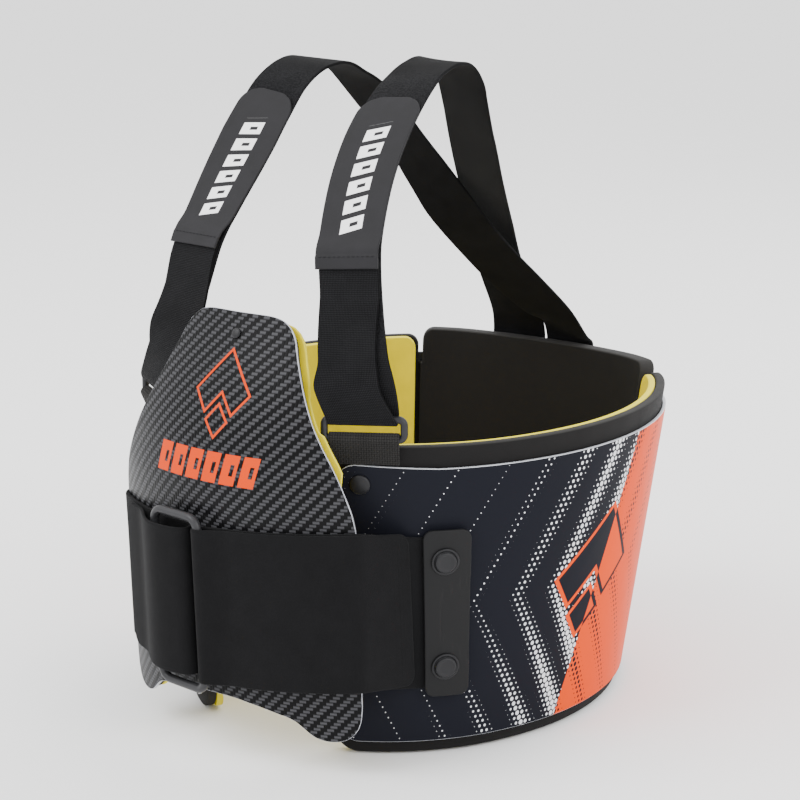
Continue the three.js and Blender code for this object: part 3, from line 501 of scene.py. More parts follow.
class Field:
    """A number that varies over a surface. Arithmetic on it makes the material's math nodes."""

    def __init__(self, tree, socket):
        self.tree = tree
        self.socket = socket

    def math(self, operation, *others, clamp=False):
        node = self.tree.nodes.new("ShaderNodeMath")
        node.operation = operation
        node.use_clamp = clamp
        for slot, value in zip(node.inputs, (self, *others)):
            if isinstance(value, Field):
                self.tree.links.new(value.socket, slot)
            else:
                slot.default_value = value
        return Field(self.tree, node.outputs[0])

    def __add__(self, other):
        return self.math("ADD", other)

    def __sub__(self, other):
        return self.math("SUBTRACT", other)

    def __rsub__(self, other):
        return (self * -1) + other

    def __mul__(self, other):
        return self.math("MULTIPLY", other)

    def __truediv__(self, other):
        return self.math("DIVIDE", other)

    def abs(self):
        return self.math("ABSOLUTE")

    def floor(self):
        return self.math("FLOOR")

    def fract(self):
        return self.math("FRACT")

    def root(self):
        return self.math("SQRT")

    def least(self, other):
        return self.math("MINIMUM", other)

    def most(self, other):
        return self.math("MAXIMUM", other)

    def clamped(self):
        return self.math("ADD", 0.0, clamp=True)

    def below(self, limit, soft):
        """1 where the field is under the limit, 0 over it, with a soft edge."""
        return ((self - limit) * (-1 / soft)).math("ADD", 0.5, clamp=True)

    def near(self, middle, reach, soft):
        """1 where the field is within reach of the middle, with a soft edge."""
        return (self - middle).abs().below(reach, soft)

    def ribs(self, pitch):
        """Rounded ridges, one in each pitch, from 0 to 1."""
        return (self / pitch * math.pi).math("SINE").abs()


SHADER_INPUTS = {
    "metallic": "Metallic",
    "specular": "Specular IOR Level",
    "coat": "Coat Weight",
    "coat_roughness": "Coat Roughness",
    "sheen": "Sheen Weight",
    "sheen_roughness": "Sheen Roughness",
}


class Look:
    """A material, with the fields that drive its shader's colour, roughness and bump."""

    def __init__(self, name, colour, roughness, **more):
        self.material = bpy.data.materials.new(name)
        self.material.use_nodes = True
        self.tree = self.material.node_tree
        self.inputs = self.tree.nodes["Principled BSDF"].inputs
        self.inputs["Base Color"].default_value = (*colour, 1)
        self.inputs["Roughness"].default_value = roughness
        for word, value in more.items():
            self.inputs[SHADER_INPUTS[word]].default_value = value

    def node(self, kind, **values):
        made = self.tree.nodes.new(f"ShaderNode{kind}")
        for name, value in values.items():
            made.inputs[name].default_value = value
        return made

    def link(self, source, target):
        self.tree.links.new(source, target)

    def flat_fields(self):
        """The flat sheet's two measures, in millimetres."""
        uv = self.node("UVMap")
        uv.uv_map = "flat"
        parts = self.node("SeparateXYZ")
        self.link(uv.outputs[0], parts.inputs[0])
        return tuple(Field(self.tree, parts.outputs[k]) * 1000 for k in (0, 1))

    def edge_field(self):
        """Distance from the sheet's outline, in millimetres."""
        node = self.node("Attribute")
        node.attribute_name = "edge"
        return Field(self.tree, node.outputs["Fac"]) * 1000

    def noise(self, size, detail=2.0, rough=0.5, stretch=(1, 1, 1)):
        """Noise with spots of about the given size in millimetres, from 0 to 1."""
        place = self.node("TexCoord")
        mapping = self.node("Mapping", Scale=stretch)
        node = self.node("TexNoise", Scale=1000 / size, Detail=detail, Roughness=rough)
        self.link(place.outputs["Object"], mapping.inputs["Vector"])
        self.link(mapping.outputs[0], node.inputs["Vector"])
        return Field(self.tree, node.outputs["Fac"])

    def cells(self, size):
        """Distance inside small round cells of the given size in millimetres."""
        place = self.node("TexCoord")
        node = self.node("TexVoronoi", Scale=1000 / size)
        self.link(place.outputs["Object"], node.inputs["Vector"])
        return Field(self.tree, node.outputs["Distance"])

    def mix(self, share, low, high):
        """A colour between two others, each a plain colour or another mix."""
        node = self.node("Mix")
        node.data_type = "RGBA"
        self.link(share.socket, node.inputs[0])
        slots = [slot for slot in node.inputs if slot.type == "RGBA"]
        for slot, value in zip(slots, (low, high)):
            if isinstance(value, tuple):
                slot.default_value = (*value, 1)
            else:
                self.link(value, slot)
        return next(slot for slot in node.outputs if slot.type == "RGBA")

    def finish(self, colour, height, depth, roughness=None):
        """Sets the colour, the bump of a height field to a depth in millimetres, and the roughness."""
        self.link(colour, self.inputs["Base Color"])
        bump = self.node("Bump", Strength=1.0, Distance=depth * MM)
        self.link(height.socket, bump.inputs["Height"])
        self.link(bump.outputs[0], self.inputs["Normal"])
        if roughness is not None:
            self.link(roughness.socket, self.inputs["Roughness"])
        return self.material


def srgb(*eight_bit):
    """Linear colour of an 8-bit one."""
    return tuple(((c / 255 + 0.055) / 1.055) ** 2.4 if c > 10 else c / 3294.6 for c in eight_bit)


def scaled(colour, share):
    return tuple(c * share for c in colour)


FOAM = {"mottle": 14, "grain": 0.55, "pores": 0.9, "cut": 0.7, "dark": 0.86, "pale": 1.12}


def foam_look(name, colour, cut, depth):
    """Closed-cell foam: fine grain, soft mottling, and a paler rim, partly the cut edge's own tone and
    partly a painted highlight.
    """
    look = Look(name, colour, 0.8, specular=0.12, sheen=0.02, sheen_roughness=0.5)
    mottle = look.noise(FOAM["mottle"], 3)
    grain = look.noise(FOAM["grain"], 3, 0.65)
    face = look.mix(mottle, scaled(colour, FOAM["dark"]), scaled(colour, FOAM["pale"]))
    # Paler rim along the outline: partly the cut edge's own tone, partly painted highlight.
    rim = look.edge_field().below(FOAM["cut"], 0.5)
    pits = look.cells(FOAM["pores"]).below(0.22, 0.25)
    height = grain + mottle * 1.5 - pits * 0.5
    return look.finish(look.mix(rim * 0.85, face, cut), height, depth, mottle * 0.2 + 0.66)


PRINT_NAVY = srgb(23, 24, 30)
PRINT_ORANGE = srgb(212, 66, 0)
PRINT_GREY = srgb(216, 217, 220)
# The border lies where the girth and the height times the slope add up to its place.
PRINT = {"slope": 0.325, "border": 281.5, "middle": 96, "emblem": 256, "line": 2.4}
CHEVRON = {"pitch": 31, "bend": 0.55, "share": 0.8}
DOT_PITCH = 4.0
DOT_LARGEST = DOT_PITCH * 0.44
DOT_GROWTH = DOT_PITCH * 0.7
# On which side of the border, from where and over what reach the dots fade, and their shares of size.
GREY_DOTS = {"side": 1, "from": 4, "reach": 112, "fade": 0.62, "bare": 0.66}
DARK_DOTS = {"side": -1, "from": 4, "reach": 120, "fade": 0.5, "bare": 0.72}
EMBLEM_SLANT = 0.62


def dots(u, v, pitch, size_at):
    """Round dots on a staggered grid. size_at(u, v) gives each dot's radius at its middle."""
    found = None
    rise = pitch * math.sqrt(3)
    for shift in (0.0, 0.5):
        middle_u = ((u / pitch + shift).floor() + (0.5 - shift)) * pitch
        middle_v = ((v / rise + shift).floor() + (0.5 - shift)) * rise
        away = ((u - middle_u) * (u - middle_u) + (v - middle_v) * (v - middle_v)).root()
        mask = ((size_at(middle_u, middle_v) - away) * 8).math("ADD", 0.5, clamp=True)
        found = mask if found is None else found.most(mask)
    return found


def past_border(u, v):
    """How far a place lies ahead of the print's slanted border."""
    return u + v * PRINT["slope"] - PRINT["border"]


def chevron_wave(u, v):
    """Bands that bend at mid height: 1 on a band's middle line and 0 between bands."""
    run = (u + (v - PRINT["middle"]).abs() * CHEVRON["bend"]) / CHEVRON["pitch"]
    return ((run.fract() - 0.5).abs() * 2 - 1).abs()


def border_dots(u, v, row):
    """Chevrons of dots on one side of the border, smaller the farther they are from it."""

    def size_at(dot_u, dot_v):
        away = past_border(dot_u, dot_v) * row["side"]
        fade = (1 - (away - row["from"]) / row["reach"]).clamped()
        size = chevron_wave(dot_u, dot_v) * CHEVRON["share"] + fade * row["fade"] - row["bare"]
        return (size * DOT_GROWTH).least(DOT_LARGEST)

    return dots(u, v, DOT_PITCH, size_at)


def diamond(x, y, middle, reach):
    """How far a place lies outside a diamond, less than 0 inside it."""
    return (x.abs() + (y - middle).abs()) * EMBLEM_SLANT - reach


def emblem_field(x, y):
    """Signed distance of two nested arrowheads, for a plain outlined emblem."""
    outer = diamond(x, y, 4, 24).most(y * -1 - 30)
    bite = diamond(x, y, -20, 15)
    lower = diamond(x, y, -22, 9.5)
    return outer.most(bite * -1).least(lower)


def outlined(shape, line):
    """The part of a shape's border that is under half a line away."""
    return shape.abs().below(line / 2, 0.25)


def shell_print_look():
    """Printed skin: dark front, orange back, slanted border, chevrons of round dots on both sides."""
    look = Look("shell_print", PRINT_NAVY, 0.34, specular=0.03)
    along, height = look.flat_fields()
    u = along.abs()
    orange = past_border(u, height).below(0, 0.3)
    front = look.mix(border_dots(u, height, GREY_DOTS), PRINT_NAVY, PRINT_GREY)
    back = look.mix(border_dots(u, height, DARK_DOTS), PRINT_ORANGE, PRINT_NAVY)
    up = height - PRINT["middle"]
    emblem = emblem_field(u - PRINT["emblem"] + up * PRINT["slope"], up)
    filling = look.mix(orange, PRINT_NAVY, PRINT_ORANGE)
    line = look.mix(orange, PRINT_ORANGE, PRINT_NAVY)
    face = look.mix(emblem.below(0, 0.25), look.mix(orange, front, back), filling)
    face = look.mix(outlined(emblem, PRINT["line"]), face, line)
    wear = look.noise(3.0, 5, 0.7, (1, 1, 0.25))
    swell = look.noise(22, 2) + look.noise(0.8, 2) * 0.05
    return look.finish(face, swell, 0.25, wear * 0.16 + 0.3)


CARBON_TOW = 2.05
CARBON_DARK = srgb(12, 12, 13)
# Painted highlight: the colour of the crosswise tows' lit crowns.
CARBON_PAINTED_HIGHLIGHT = srgb(66, 66, 69)
MARK_ORANGE = srgb(206, 60, 0)
MARK_EMBLEM = {"at": 3, "height": 220, "narrow": 1.9, "low": 1.62, "line": 2.2}
MARK_BLOCKS = {"bottom": 171, "middle": 180, "half": 9, "shift": 5, "lean": 0.22, "pitch": 13.6}
MARK_SLOT = {"at": 0.62, "half": 0.1, "tall": 3.4}


def twill(u, v, tow):
    """Two-over-two twill: how far up each point stands, and where the crosswise tows show."""
    step = ((u / tow).floor() - (v / tow).floor()) / 4
    over = (step.fract() - 0.5).below(-0.01, 0.01)
    return over * v.ribs(tow) + (1 - over) * u.ribs(tow), over


def panel_marks(u, v):
    """An outlined arrowhead above a row of six slanted blocks, each with a slot."""
    across = (u - MARK_EMBLEM["at"]) * MARK_EMBLEM["narrow"]
    emblem = emblem_field(across, (v - MARK_EMBLEM["height"]) * MARK_EMBLEM["low"])
    lean = u + MARK_BLOCKS["shift"] - (v - MARK_BLOCKS["bottom"]) * MARK_BLOCKS["lean"]
    cell = (lean / MARK_BLOCKS["pitch"]).fract()
    middle = MARK_BLOCKS["middle"]
    block = cell.near(0.5, 0.395, 0.02) * lean.near(0, MARK_BLOCKS["pitch"] * 3, 0.2)
    block = block * v.near(middle, MARK_BLOCKS["half"], 0.2)
    slot = cell.near(MARK_SLOT["at"], MARK_SLOT["half"], 0.02) * v.near(middle, MARK_SLOT["tall"], 0.2)
    return outlined(emblem, MARK_EMBLEM["line"]).most(block * (1 - slot))


def carbon_look():
    """Carbon twill under a clear coat, with plain orange marks printed on it. The crosswise tows' crowns
    carry a painted highlight in the colour.
    """
    look = Look("carbon_plate", CARBON_DARK, 0.38, specular=0.06, coat=0.02, coat_roughness=0.2)
    u, v = look.flat_fields()
    height, over = twill(u, v, CARBON_TOW)
    fibre = look.noise(0.35, 2, 0.6, (1, 1, 6))
    # Painted highlight along the crosswise tows' crowns, streaked by the fibres.
    painted_tow_highlight = over * (height * 0.9 + 0.1) * (fibre * 0.7 + 0.55)
    weave = look.mix(painted_tow_highlight.clamped(), CARBON_DARK, CARBON_PAINTED_HIGHLIGHT)
    marks = panel_marks(u, v)
    face = look.mix(marks, weave, MARK_ORANGE)
    return look.finish(face, height * (1 - marks) + marks * 0.9, 0.12, marks * 0.2 + 0.32)


def fabric_look(name, colour, pale, thread, pitch, depth, fuzz):
    """Woven cloth: crossing threads on the flat measures, with fibres and sheen over them. The threads'
    crowns are painted paler and the gaps darker, as painted highlight and shade.
    """
    look = Look(name, colour, 0.88, specular=0.06, sheen=0.01 + 0.03 * fuzz, sheen_roughness=0.45)
    u, v = look.flat_fields()
    parity = (((u / pitch).floor() + (v / pitch).floor()) / 2).fract().below(0.25, 0.02)
    weave = parity * v.ribs(pitch) + (1 - parity) * u.ribs(pitch)
    lint = look.noise(thread, 3, 0.7)
    soft = look.noise(11, 3)
    # Painted highlight and shade: thread crowns paler and the gaps between threads darker; lint and soft
    # noise add the cloth's own random tone.
    share = (weave * (1 - fuzz) * 0.75 + lint * fuzz + (soft - 0.5) * 0.35).clamped()
    height = weave * (1 - fuzz) + lint * (0.35 + fuzz) + soft * 0.8
    return look.finish(look.mix(share, scaled(colour, 0.6), pale), height, depth)


# How far up the strap, from its front end, the ribbed part and the pile reach.
STRAP_WEAVE = {"ribbed": 150, "pile": 330, "rib": 1.05, "loop": 1.1, "thread": 0.6}


def strap_look():
    """Ribbed elastic by the ring, loop pile over the shoulder, smooth webbing down the back."""
    look = Look("strap_fabric", srgb(27, 27, 28), 0.9, specular=0.06, sheen=0.02, sheen_roughness=0.5)
    u, v = look.flat_fields()
    woven = u.ribs(STRAP_WEAVE["rib"]) * v.ribs(STRAP_WEAVE["rib"])
    pile = look.cells(STRAP_WEAVE["loop"]).below(0.45, 0.6) * 0.6 + look.noise(0.6, 3, 0.7) * 0.6
    plain = u.ribs(STRAP_WEAVE["thread"]) * 0.25 + look.noise(0.5, 2) * 0.3
    near_ring = u.below(STRAP_WEAVE["ribbed"], 4)
    looped = u.below(STRAP_WEAVE["pile"], 14) * (1 - near_ring)
    rest = (1 - near_ring) * (1 - looped)
    soft = look.noise(12, 3)
    height = woven * near_ring + pile * looped + plain * rest
    # Painted highlight and shade: rib crowns, pile loops and threads paler, the hollows between them
    # darker, over a soft random tone.
    shade = woven * near_ring * 0.8 + pile * looped * 0.7 + plain * rest * 0.35 + (soft - 0.5) * 0.3
    tone = look.mix(shade.clamped(), srgb(6, 6, 7), srgb(38, 38, 40))
    return look.finish(tone, height + soft * 0.5, 0.35)


LABEL_BARS = {"first": 22, "count": 6, "pitch": 11.5, "share": 0.72, "lean": 0.28, "half": 7.2}
LABEL_SLOT = {"at": 0.36, "half": 0.1, "across": 1.2, "tall": 2.6}
LABEL_THREAD = 0.45


def label_bars(u, v):
    """A row of slanted bars along the label, each with a slot."""
    past = u - v * LABEL_BARS["lean"] - LABEL_BARS["first"]
    cell = (past / LABEL_BARS["pitch"]).fract()
    half_row = LABEL_BARS["count"] * LABEL_BARS["pitch"] / 2
    bars = cell.below(LABEL_BARS["share"], 0.02) * past.near(half_row, half_row, 0.2)
    bars = bars * v.abs().below(LABEL_BARS["half"], 0.25)
    slot = cell.near(LABEL_SLOT["at"], LABEL_SLOT["half"], 0.02)
    slot = slot * v.near(LABEL_SLOT["across"], LABEL_SLOT["tall"], 0.2)
    return bars * (1 - slot)


def label_look():
    """Smooth woven label with a row of white slanted bars."""
    look = Look("label_fabric", srgb(33, 32, 36), 0.62, specular=0.25)
    u, v = look.flat_fields()
    bars = label_bars(u, v)
    thread = u.ribs(LABEL_THREAD) * 0.5 + v.ribs(LABEL_THREAD) * 0.5
    soft = look.noise(9, 3)
    face = look.mix(bars, look.mix(soft, srgb(14, 14, 16), srgb(24, 23, 27)), srgb(246, 246, 246))
    return look.finish(face, thread * 0.5 + soft * 1.5 + bars * 0.6, 0.12, bars * -0.15 + 0.66)


def hard_look(name, colour, roughness, metallic, grain, depth, gloss):
    """Plastic or coated metal with slight wear."""
    look = Look(name, colour, roughness, metallic=metallic, specular=gloss)
    wear = look.noise(7, 4, 0.65)
    tone = look.mix(wear, scaled(colour, 0.8), scaled(colour, 1.25))
    return look.finish(tone, look.noise(grain, 4, 0.6), depth, wear * 0.25 + (roughness - 0.12))


# Colour, colour of the rim (the cut edge's own tone and a painted highlight), depth of the grain.
FOAM_LOOKS = {
    "foam_black": (srgb(19, 18, 18), srgb(44, 43, 42), 0.09),
    "foam_yellow": (srgb(206, 186, 0), srgb(222, 208, 60), 0.07),
}
# Colour, roughness, metallic, size and depth of the grain, gloss.
HARD_LOOKS = {
    # The two pale cut-edge colours are partly the edges' own colour and partly a painted highlight.
    "shell_cut": (srgb(188, 190, 196), 0.35, 0.0, 0.5, 0.02, 0.5),
    "shell_back": (srgb(40, 41, 44), 0.5, 0.0, 0.5, 0.03, 0.5),
    "carbon_cut": (srgb(176, 178, 186), 0.3, 0.1, 0.5, 0.02, 0.5),
    "plate_plastic": (srgb(20, 20, 21), 0.55, 0.0, 0.7, 0.05, 0.15),
    "rivet_metal": (srgb(26, 26, 28), 0.4, 0.15, 0.9, 0.03, 0.25),
    "ring_black": (srgb(30, 30, 33), 0.38, 0.15, 0.9, 0.03, 0.3),
    "ring_grey": (srgb(44, 44, 46), 0.4, 0.2, 0.9, 0.03, 0.25),
}
# Colour, pale colour (the fibres' own paler tone and the painted highlight on thread crowns), size of
# the fibres, pitch and depth of the weave, fuzz from 0 to 1.
FABRIC_LOOKS = {
    "band_fabric": (srgb(15, 15, 16), scaled(srgb(15, 15, 16), 1.9), 0.7, 0.7, 0.16, 0.75),
    "webbing": (srgb(14, 14, 15), srgb(50, 49, 48), 0.5, 1.5, 0.35, 0.15),
    "thread": (srgb(38, 38, 40), scaled(srgb(38, 38, 40), 1.7), 0.4, 0.4, 0.05, 0.5),
}


def make_looks():
    looks = {
        "shell_print": shell_print_look(),
        "carbon_plate": carbon_look(),
        "strap_fabric": strap_look(),
        "label_fabric": label_look(),
    }
    for make, table in ((foam_look, FOAM_LOOKS), (hard_look, HARD_LOOKS), (fabric_look, FABRIC_LOOKS)):
        looks.update({name: make(name, *row) for name, row in table.items()})
    return looks


LOOKS = make_looks()


# Body

WRAP_STEP = 3
SWELL = 0.25
# Distances from the slot's middle line inside it, and from its edge beside it.
SLOT_INSIDE = [0, 0.6, 1.1, 1.45, 1.65, 1.699]
SLOT_BESIDE = [0.001, 0.15, 0.4, 0.8, 1.4, 2.2, 3.2, 4.5, 6.0, 8.0]
# Distances from the panel's side edge, where its grid is close.
PANEL_CLOSE = [0, 0.04, 0.12, 0.25, 0.45, 0.7, 1.1, 1.7, 2.4]
PANEL_STEP = 1.6
NOTCH_EASE = 4


def foam_top(s):
    """Height of the foam wrap's upper edge: side walls, two round-bottomed slots, taller back panel."""
    half = BACK_SLOT["width"] / 2
    away = np.abs(s) - BACK_SLOT["at"]
    full = np.where(away > 0, FOAM_HEIGHT, BACK_PANEL_HEIGHT)
    reach = np.abs(away) - half
    floor = FOAM_HEIGHT - BACK_SLOT["depth"] + rounded_off(-reach, half)
    return np.where(reach < 0, floor, full - rounded_off(reach, TAB_CORNER))


def slot_places():
    """Places along the girth that shape both slots."""
    beside = BACK_SLOT["width"] / 2 + np.array(SLOT_BESIDE)
    reach = np.concatenate([SLOT_INSIDE, beside])
    slots = np.unique(np.concatenate([BACK_SLOT["at"] - reach, BACK_SLOT["at"] + reach]))
    return np.concatenate([-slots[::-1], slots])


def soft_waves(s, z, tall):
    """Small slow swells of soft foam."""
    return tall * (np.sin(s / 23 + 1.3) * np.sin(z / 41 + 0.5) + 0.5 * np.sin(s / 9.7) * np.cos(z / 17))


def build_foam_wrap():
    places, cuts = rounded_columns(-FRONT_END, FRONT_END, FOAM_CORNER, WRAP_STEP)
    slots = slot_places()
    far = np.abs(places[:, None] - slots[None]).min(1) > 1.2
    everywhere = np.concatenate([places[far], slots])
    order = np.argsort(everywhere)
    cut = np.concatenate([cuts[far], np.zeros(len(slots))])[order]
    z = column_rows(cut, foam_top(everywhere[order]) - cut, ROWS["foam"])
    s = np.broadcast_to(everywhere[order][:, None], z.shape)
    flat = np.stack([s, z], -1)
    edge = outline_distance(flat)
    thickness = np.where(np.abs(s) < BACK_SLOT["at"], FOAM_THICKNESS + LINER_THICKNESS, FOAM_THICKNESS)
    trim = rounded_off(edge, ROUNDING["foam"])
    wave = soft_waves(s, z, SWELL) * (edge > 4)
    outer = wrap_at(s, z, -trim)[0]
    inner = wrap_at(s, z, trim - thickness - np.maximum(wave, 0))[0]
    made = two_faced("foam_wrap", outer, inner, flat, edge, ["foam_black"])


def wrap_sheet(node, ends, bottom, top, corner, step, thickness, mid, rounding, looks,
               relief=None, lean=0.0):
    """A sheet on the wrap's form between two places along the girth, with round corners."""
    places, cuts = rounded_columns(min(ends), max(ends), corner, step)
    z = column_rows(bottom + cuts, top(places) - cuts, ROWS["wrap"])
    s = np.broadcast_to(places[:, None], z.shape)
    raised = relief(s, z) if relief else 0.0
    placed = s + lean * (z - PLATE_MIDDLE)
    flat = np.stack([s, z], -1)

    def place(off):
        return wrap_at(placed, z, off)[0]

    return sheet_mesh(node, place, flat, thickness, rounding, looks, raised, mid)


def build_liner(side):
    ends = (side * LINER_BACK_AT, side * (FRONT_END - LINER_FRONT_INSET))
    mid = -FOAM_THICKNESS - LAYER_GAP - LINER_THICKNESS / 2
    made = wrap_sheet(
        f"liner_{SIDES[side]}", ends, LINER_INSET, lambda s: FOAM_HEIGHT - LINER_INSET,
        LINER_CORNER, WRAP_STEP, LINER_THICKNESS, mid, ROUNDING["liner"], ["foam_yellow"],
    )


def shell_top(s):
    ahead = np.abs(s) - (HALF_GIRTH - SHELL_RISE["from"])
    share = np.clip(ahead / (SHELL_RISE["from"] - SHELL_RISE["to"]), 0, 1)
    return SHELL["top"] + SHELL_RISE["rise"] * share


def build_shell():
    end = FRONT_END - SHELL["front_inset"]
    mid = LAYER_GAP + SHELL["thickness"] / 2
    made = wrap_sheet(
        "outer_shell", (-end, end), SHELL["bottom"], shell_top, SHELL["corner"], WRAP_STEP,
        SHELL["thickness"], mid, ROUNDING["shell"], ["shell_print", "shell_cut", "shell_back"],
    )
    cut_edge_and_highlight(made, CUT_EDGE_AND_HIGHLIGHT["shell"])


def cut_edge_and_highlight(made, width):
    """The rounded edge takes the cut edge's material, as far in as the given width: partly the edge's
    own paler colour, partly a painted highlight.
    """
    mesh = made.data
    edge = np.zeros(len(mesh.vertices), np.float32)
    mesh.attributes["edge"].data.foreach_get("value", edge)
    for face in mesh.polygons:
        if face.material_index == 0 and max(edge[v] for v in face.vertices) < width * MM:
            face.material_index = 1


def panel_grid(edges, reach, rows):
    """Across and height of a grid between the lower and the upper edge that edges(width) gives."""
    close = reach - np.array(PANEL_CLOSE)
    half = np.concatenate([np.linspace(0, reach - 3, round(reach / PANEL_STEP)), close[::-1]])
    across = np.unique(np.concatenate([-half, half]))
    bottom, top = edges(np.abs(across))
    z = column_rows(bottom, top, rows)
    return np.broadcast_to(across[:, None], z.shape), z


def panel_sheet(node, edges, reach, rows, thickness, behind, rounding, looks):
    """A sheet on the panel's form. Its outer face lies behind the panel's by the given distance."""
    x, z = panel_grid(edges, reach, rows)
    mid = -behind - thickness / 2

    def place(off):
        return panel_at(x, z, off)[0]

    return sheet_mesh(node, place, np.stack([x, z], -1), thickness, rounding, looks, 0.0, mid)


def panel_edges(width):
    return curve(PANEL_OUTLINE, width, 1), curve(PANEL_OUTLINE, width, 2)


def pad_edges(width):
    bottom, top = panel_edges(width)
    return bottom + PAD_INSET, top - PAD_INSET


def pad_liner_edges(width):
    """The liner shows beside the panel, less so in a notch beside the strap's ring."""
    notch = np.abs(width - PAD_LINER_NOTCH["across"]) - PAD_LINER_NOTCH["half"]
    part = np.clip(1 - notch / NOTCH_EASE, 0, 1)
    overhang = PAD_LINER_OVERHANG + (PAD_LINER_NOTCH["overhang"] - PAD_LINER_OVERHANG) * part
    inward = np.maximum(0, width - overhang * np.minimum(1, width / 20))
    table = np.array(PANEL_OUTLINE, float)
    return pad_edges(width)[0], np.interp(inward, table[:, 0], table[:, 2]) - PAD_INSET


def build_panel():
    looks = ["carbon_plate", "carbon_cut", "shell_back"]
    made = panel_sheet(
        "front_panel", panel_edges, PANEL_REACH, ROWS["panel"], PANEL_THICKNESS, 0,
        ROUNDING["panel"], looks,
    )
    cut_edge_and_highlight(made, CUT_EDGE_AND_HIGHLIGHT["panel"])


def build_pads():
    behind = PANEL_THICKNESS + PAD_GAP
    pad = panel_sheet(
        "front_pad", pad_edges, PANEL_REACH, ROWS["pad"], PAD_THICKNESS, behind,
        ROUNDING["pad"], ["foam_black"],
    )
    behind += PAD_THICKNESS + PAD_GAP
    liner = panel_sheet(
        "front_pad_liner", pad_liner_edges, PAD_LINER_REACH, ROWS["pad"], PAD_LINER_THICKNESS,
        behind, ROUNDING["pad_liner"], ["foam_yellow"],
    )


# Plates and rivets

PLATE_GRID = 0.5
PLATE_STEP = {"across": -4.6, "low": 75.0, "high": 103.0, "slope": 0.62, "deep": 0.8, "ease": 0.6}


def plate_relief(s, z):
    """A shallow recess on the plate's back half, between two slanted steps."""
    back = HALF_GIRTH - PLATE["at"] - np.abs(s) - PLATE_STEP["across"]
    under = PLATE_STEP["high"] + PLATE_STEP["slope"] * back - z
    over = z - PLATE_STEP["low"] + PLATE_STEP["slope"] * back
    inside = np.minimum(np.minimum(under, over), back)
    return -PLATE_STEP["deep"] * np.clip(inside / PLATE_STEP["ease"], 0, 1)


def build_plate(side):
    start = HALF_GIRTH - PLATE["at"] - PLATE["width"] / 2
    wrap_sheet(
        f"rivet_plate_{SIDES[side]}", (side * start, side * (start + PLATE["width"])),
        PLATE["bottom"], lambda s: PLATE["bottom"] + PLATE["height"], PLATE["corner"], PLATE_GRID,
        PLATE["thickness"], PLATE_FACE - PLATE["thickness"] / 2, ROUNDING["plate"],
        ["plate_plastic"], plate_relief, side * PLATE_LEAN,
    )


def snap_rows():
    """A snap rivet: ring flange, groove, raised head with a shallow dish."""
    wide = RIVET_FLANGE["radius"]
    rise = RIVET_FLANGE["tall"]
    head = RIVET_HEAD["radius"]
    full = rise + RIVET_HEAD["tall"]
    return [
        (wide, 0),
        (wide, rise * 0.55),
        (wide - 0.35, rise),
        (head + 0.55, rise),
        (head + 0.35, rise * 0.45),
        (head, rise * 0.45),
        (head, full - 0.6),
        (head - 0.25, full - 0.2),
        (head - 0.8, full),
        (head - 1.6, full),
        (head - 2.1, full - 0.25),
        (head - 3.5, full - 0.32),
        (0.4, full - 0.3),
    ]


def dome_rows(rivet):
    """A low dome over a short lip."""
    radius = rivet["radius"]
    tall = rivet["tall"]
    turn = np.linspace(0, np.pi / 2, 10)[:-1]
    dome = [(radius * math.cos(a), tall * (0.3 + 0.7 * math.sin(a))) for a in turn]
    return [(radius, 0.0), (radius, tall * 0.25), *dome, (0.2, tall)]


def build_rivets(side):
    s = side * (HALF_GIRTH - PLATE["at"] + RIVET_AHEAD)
    for word, end in (("upper", 1), ("lower", -1)):
        rise = end * RIVET_PITCH / 2
        place = wrap_at(s + side * PLATE_LEAN * rise, PLATE_MIDDLE + rise, PLATE_FACE + RIVET_LIFT)
        head_mesh(f"plate_rivet_{word}_{SIDES[side]}", place, snap_rows())
    place = wrap_at(side * (HALF_GIRTH - DOME_RIVET["at"]), DOME_RIVET["height"], SHELL_FACE + LAYER_GAP)
    head_mesh(f"dome_rivet_{SIDES[side]}", place, dome_rows(DOME_RIVET))


def build_panel_rivet():
    place = panel_at(PANEL_RIVET["across"], PANEL_RIVET["height"], LAYER_GAP)
    head_mesh("panel_rivet", place, dome_rows(PANEL_RIVET))


# Rings


def ring_mesh(node, place, ring, corner, step, look):
    """A rectangular ring of round wire, upright on a face, with points at least every step."""
    centre, n = place
    side, up = level_axes(n)
    half_w = (ring["width"] - ring["wire"]) / 2 - corner
    half_h = (ring["height"] - ring["wire"]) / 2 - corner
    points = []
    for sign_w, sign_h, start in ((1, 1, 0), (-1, 1, 90), (-1, -1, 180), (1, -1, 270)):
        for turn in np.radians(start + np.linspace(0, 90, 9)):
            w = sign_w * half_w + corner * math.cos(turn)
            h = sign_h * half_h + corner * math.sin(turn)
            points.append(centre + side * w + up * h)
    loop = []
    for a, b in zip(points, np.roll(points, -1, 0)):
        count = max(1, math.ceil(np.linalg.norm(b - a) / step))
        loop += [a + (b - a) * k / count for k in range(count)]
    return tube_mesh(node, np.array(loop), ring["wire"] / 2, look)


def band_ring_place():
    return panel_at(BAND_RING["across"], BAND_RING["middle"], BAND_RING["lift"])


def strap_ring_place(side):
    p, n = wrap_at(side * (HALF_GIRTH - STRAP_RING_AT[side]), STRAP_RING["middle"], STRAP_RING["off"])
    return p, unit(n * np.array([1, 1, 0]))


# Bands: each station is a function from heights to points and normals.

BAND_EASE = 4
JOIN_STEPS = 14


def beside_bar(angle, radius):
    """Round the ring's near bar, turned by an angle from the panel's side."""
    p, n = band_ring_place()
    side, up = level_axes(n)
    bar = p + side * (BAND_RING["width"] - BAND_RING["wire"]) / 2
    out = unit(-side * math.sin(angle) - n * math.cos(angle))

    def station(z):
        point = bar + up * ((z - BAND_RING["middle"]) / up[2])[..., None]
        return point + out * radius, np.broadcast_to(-out, point.shape)

    return station


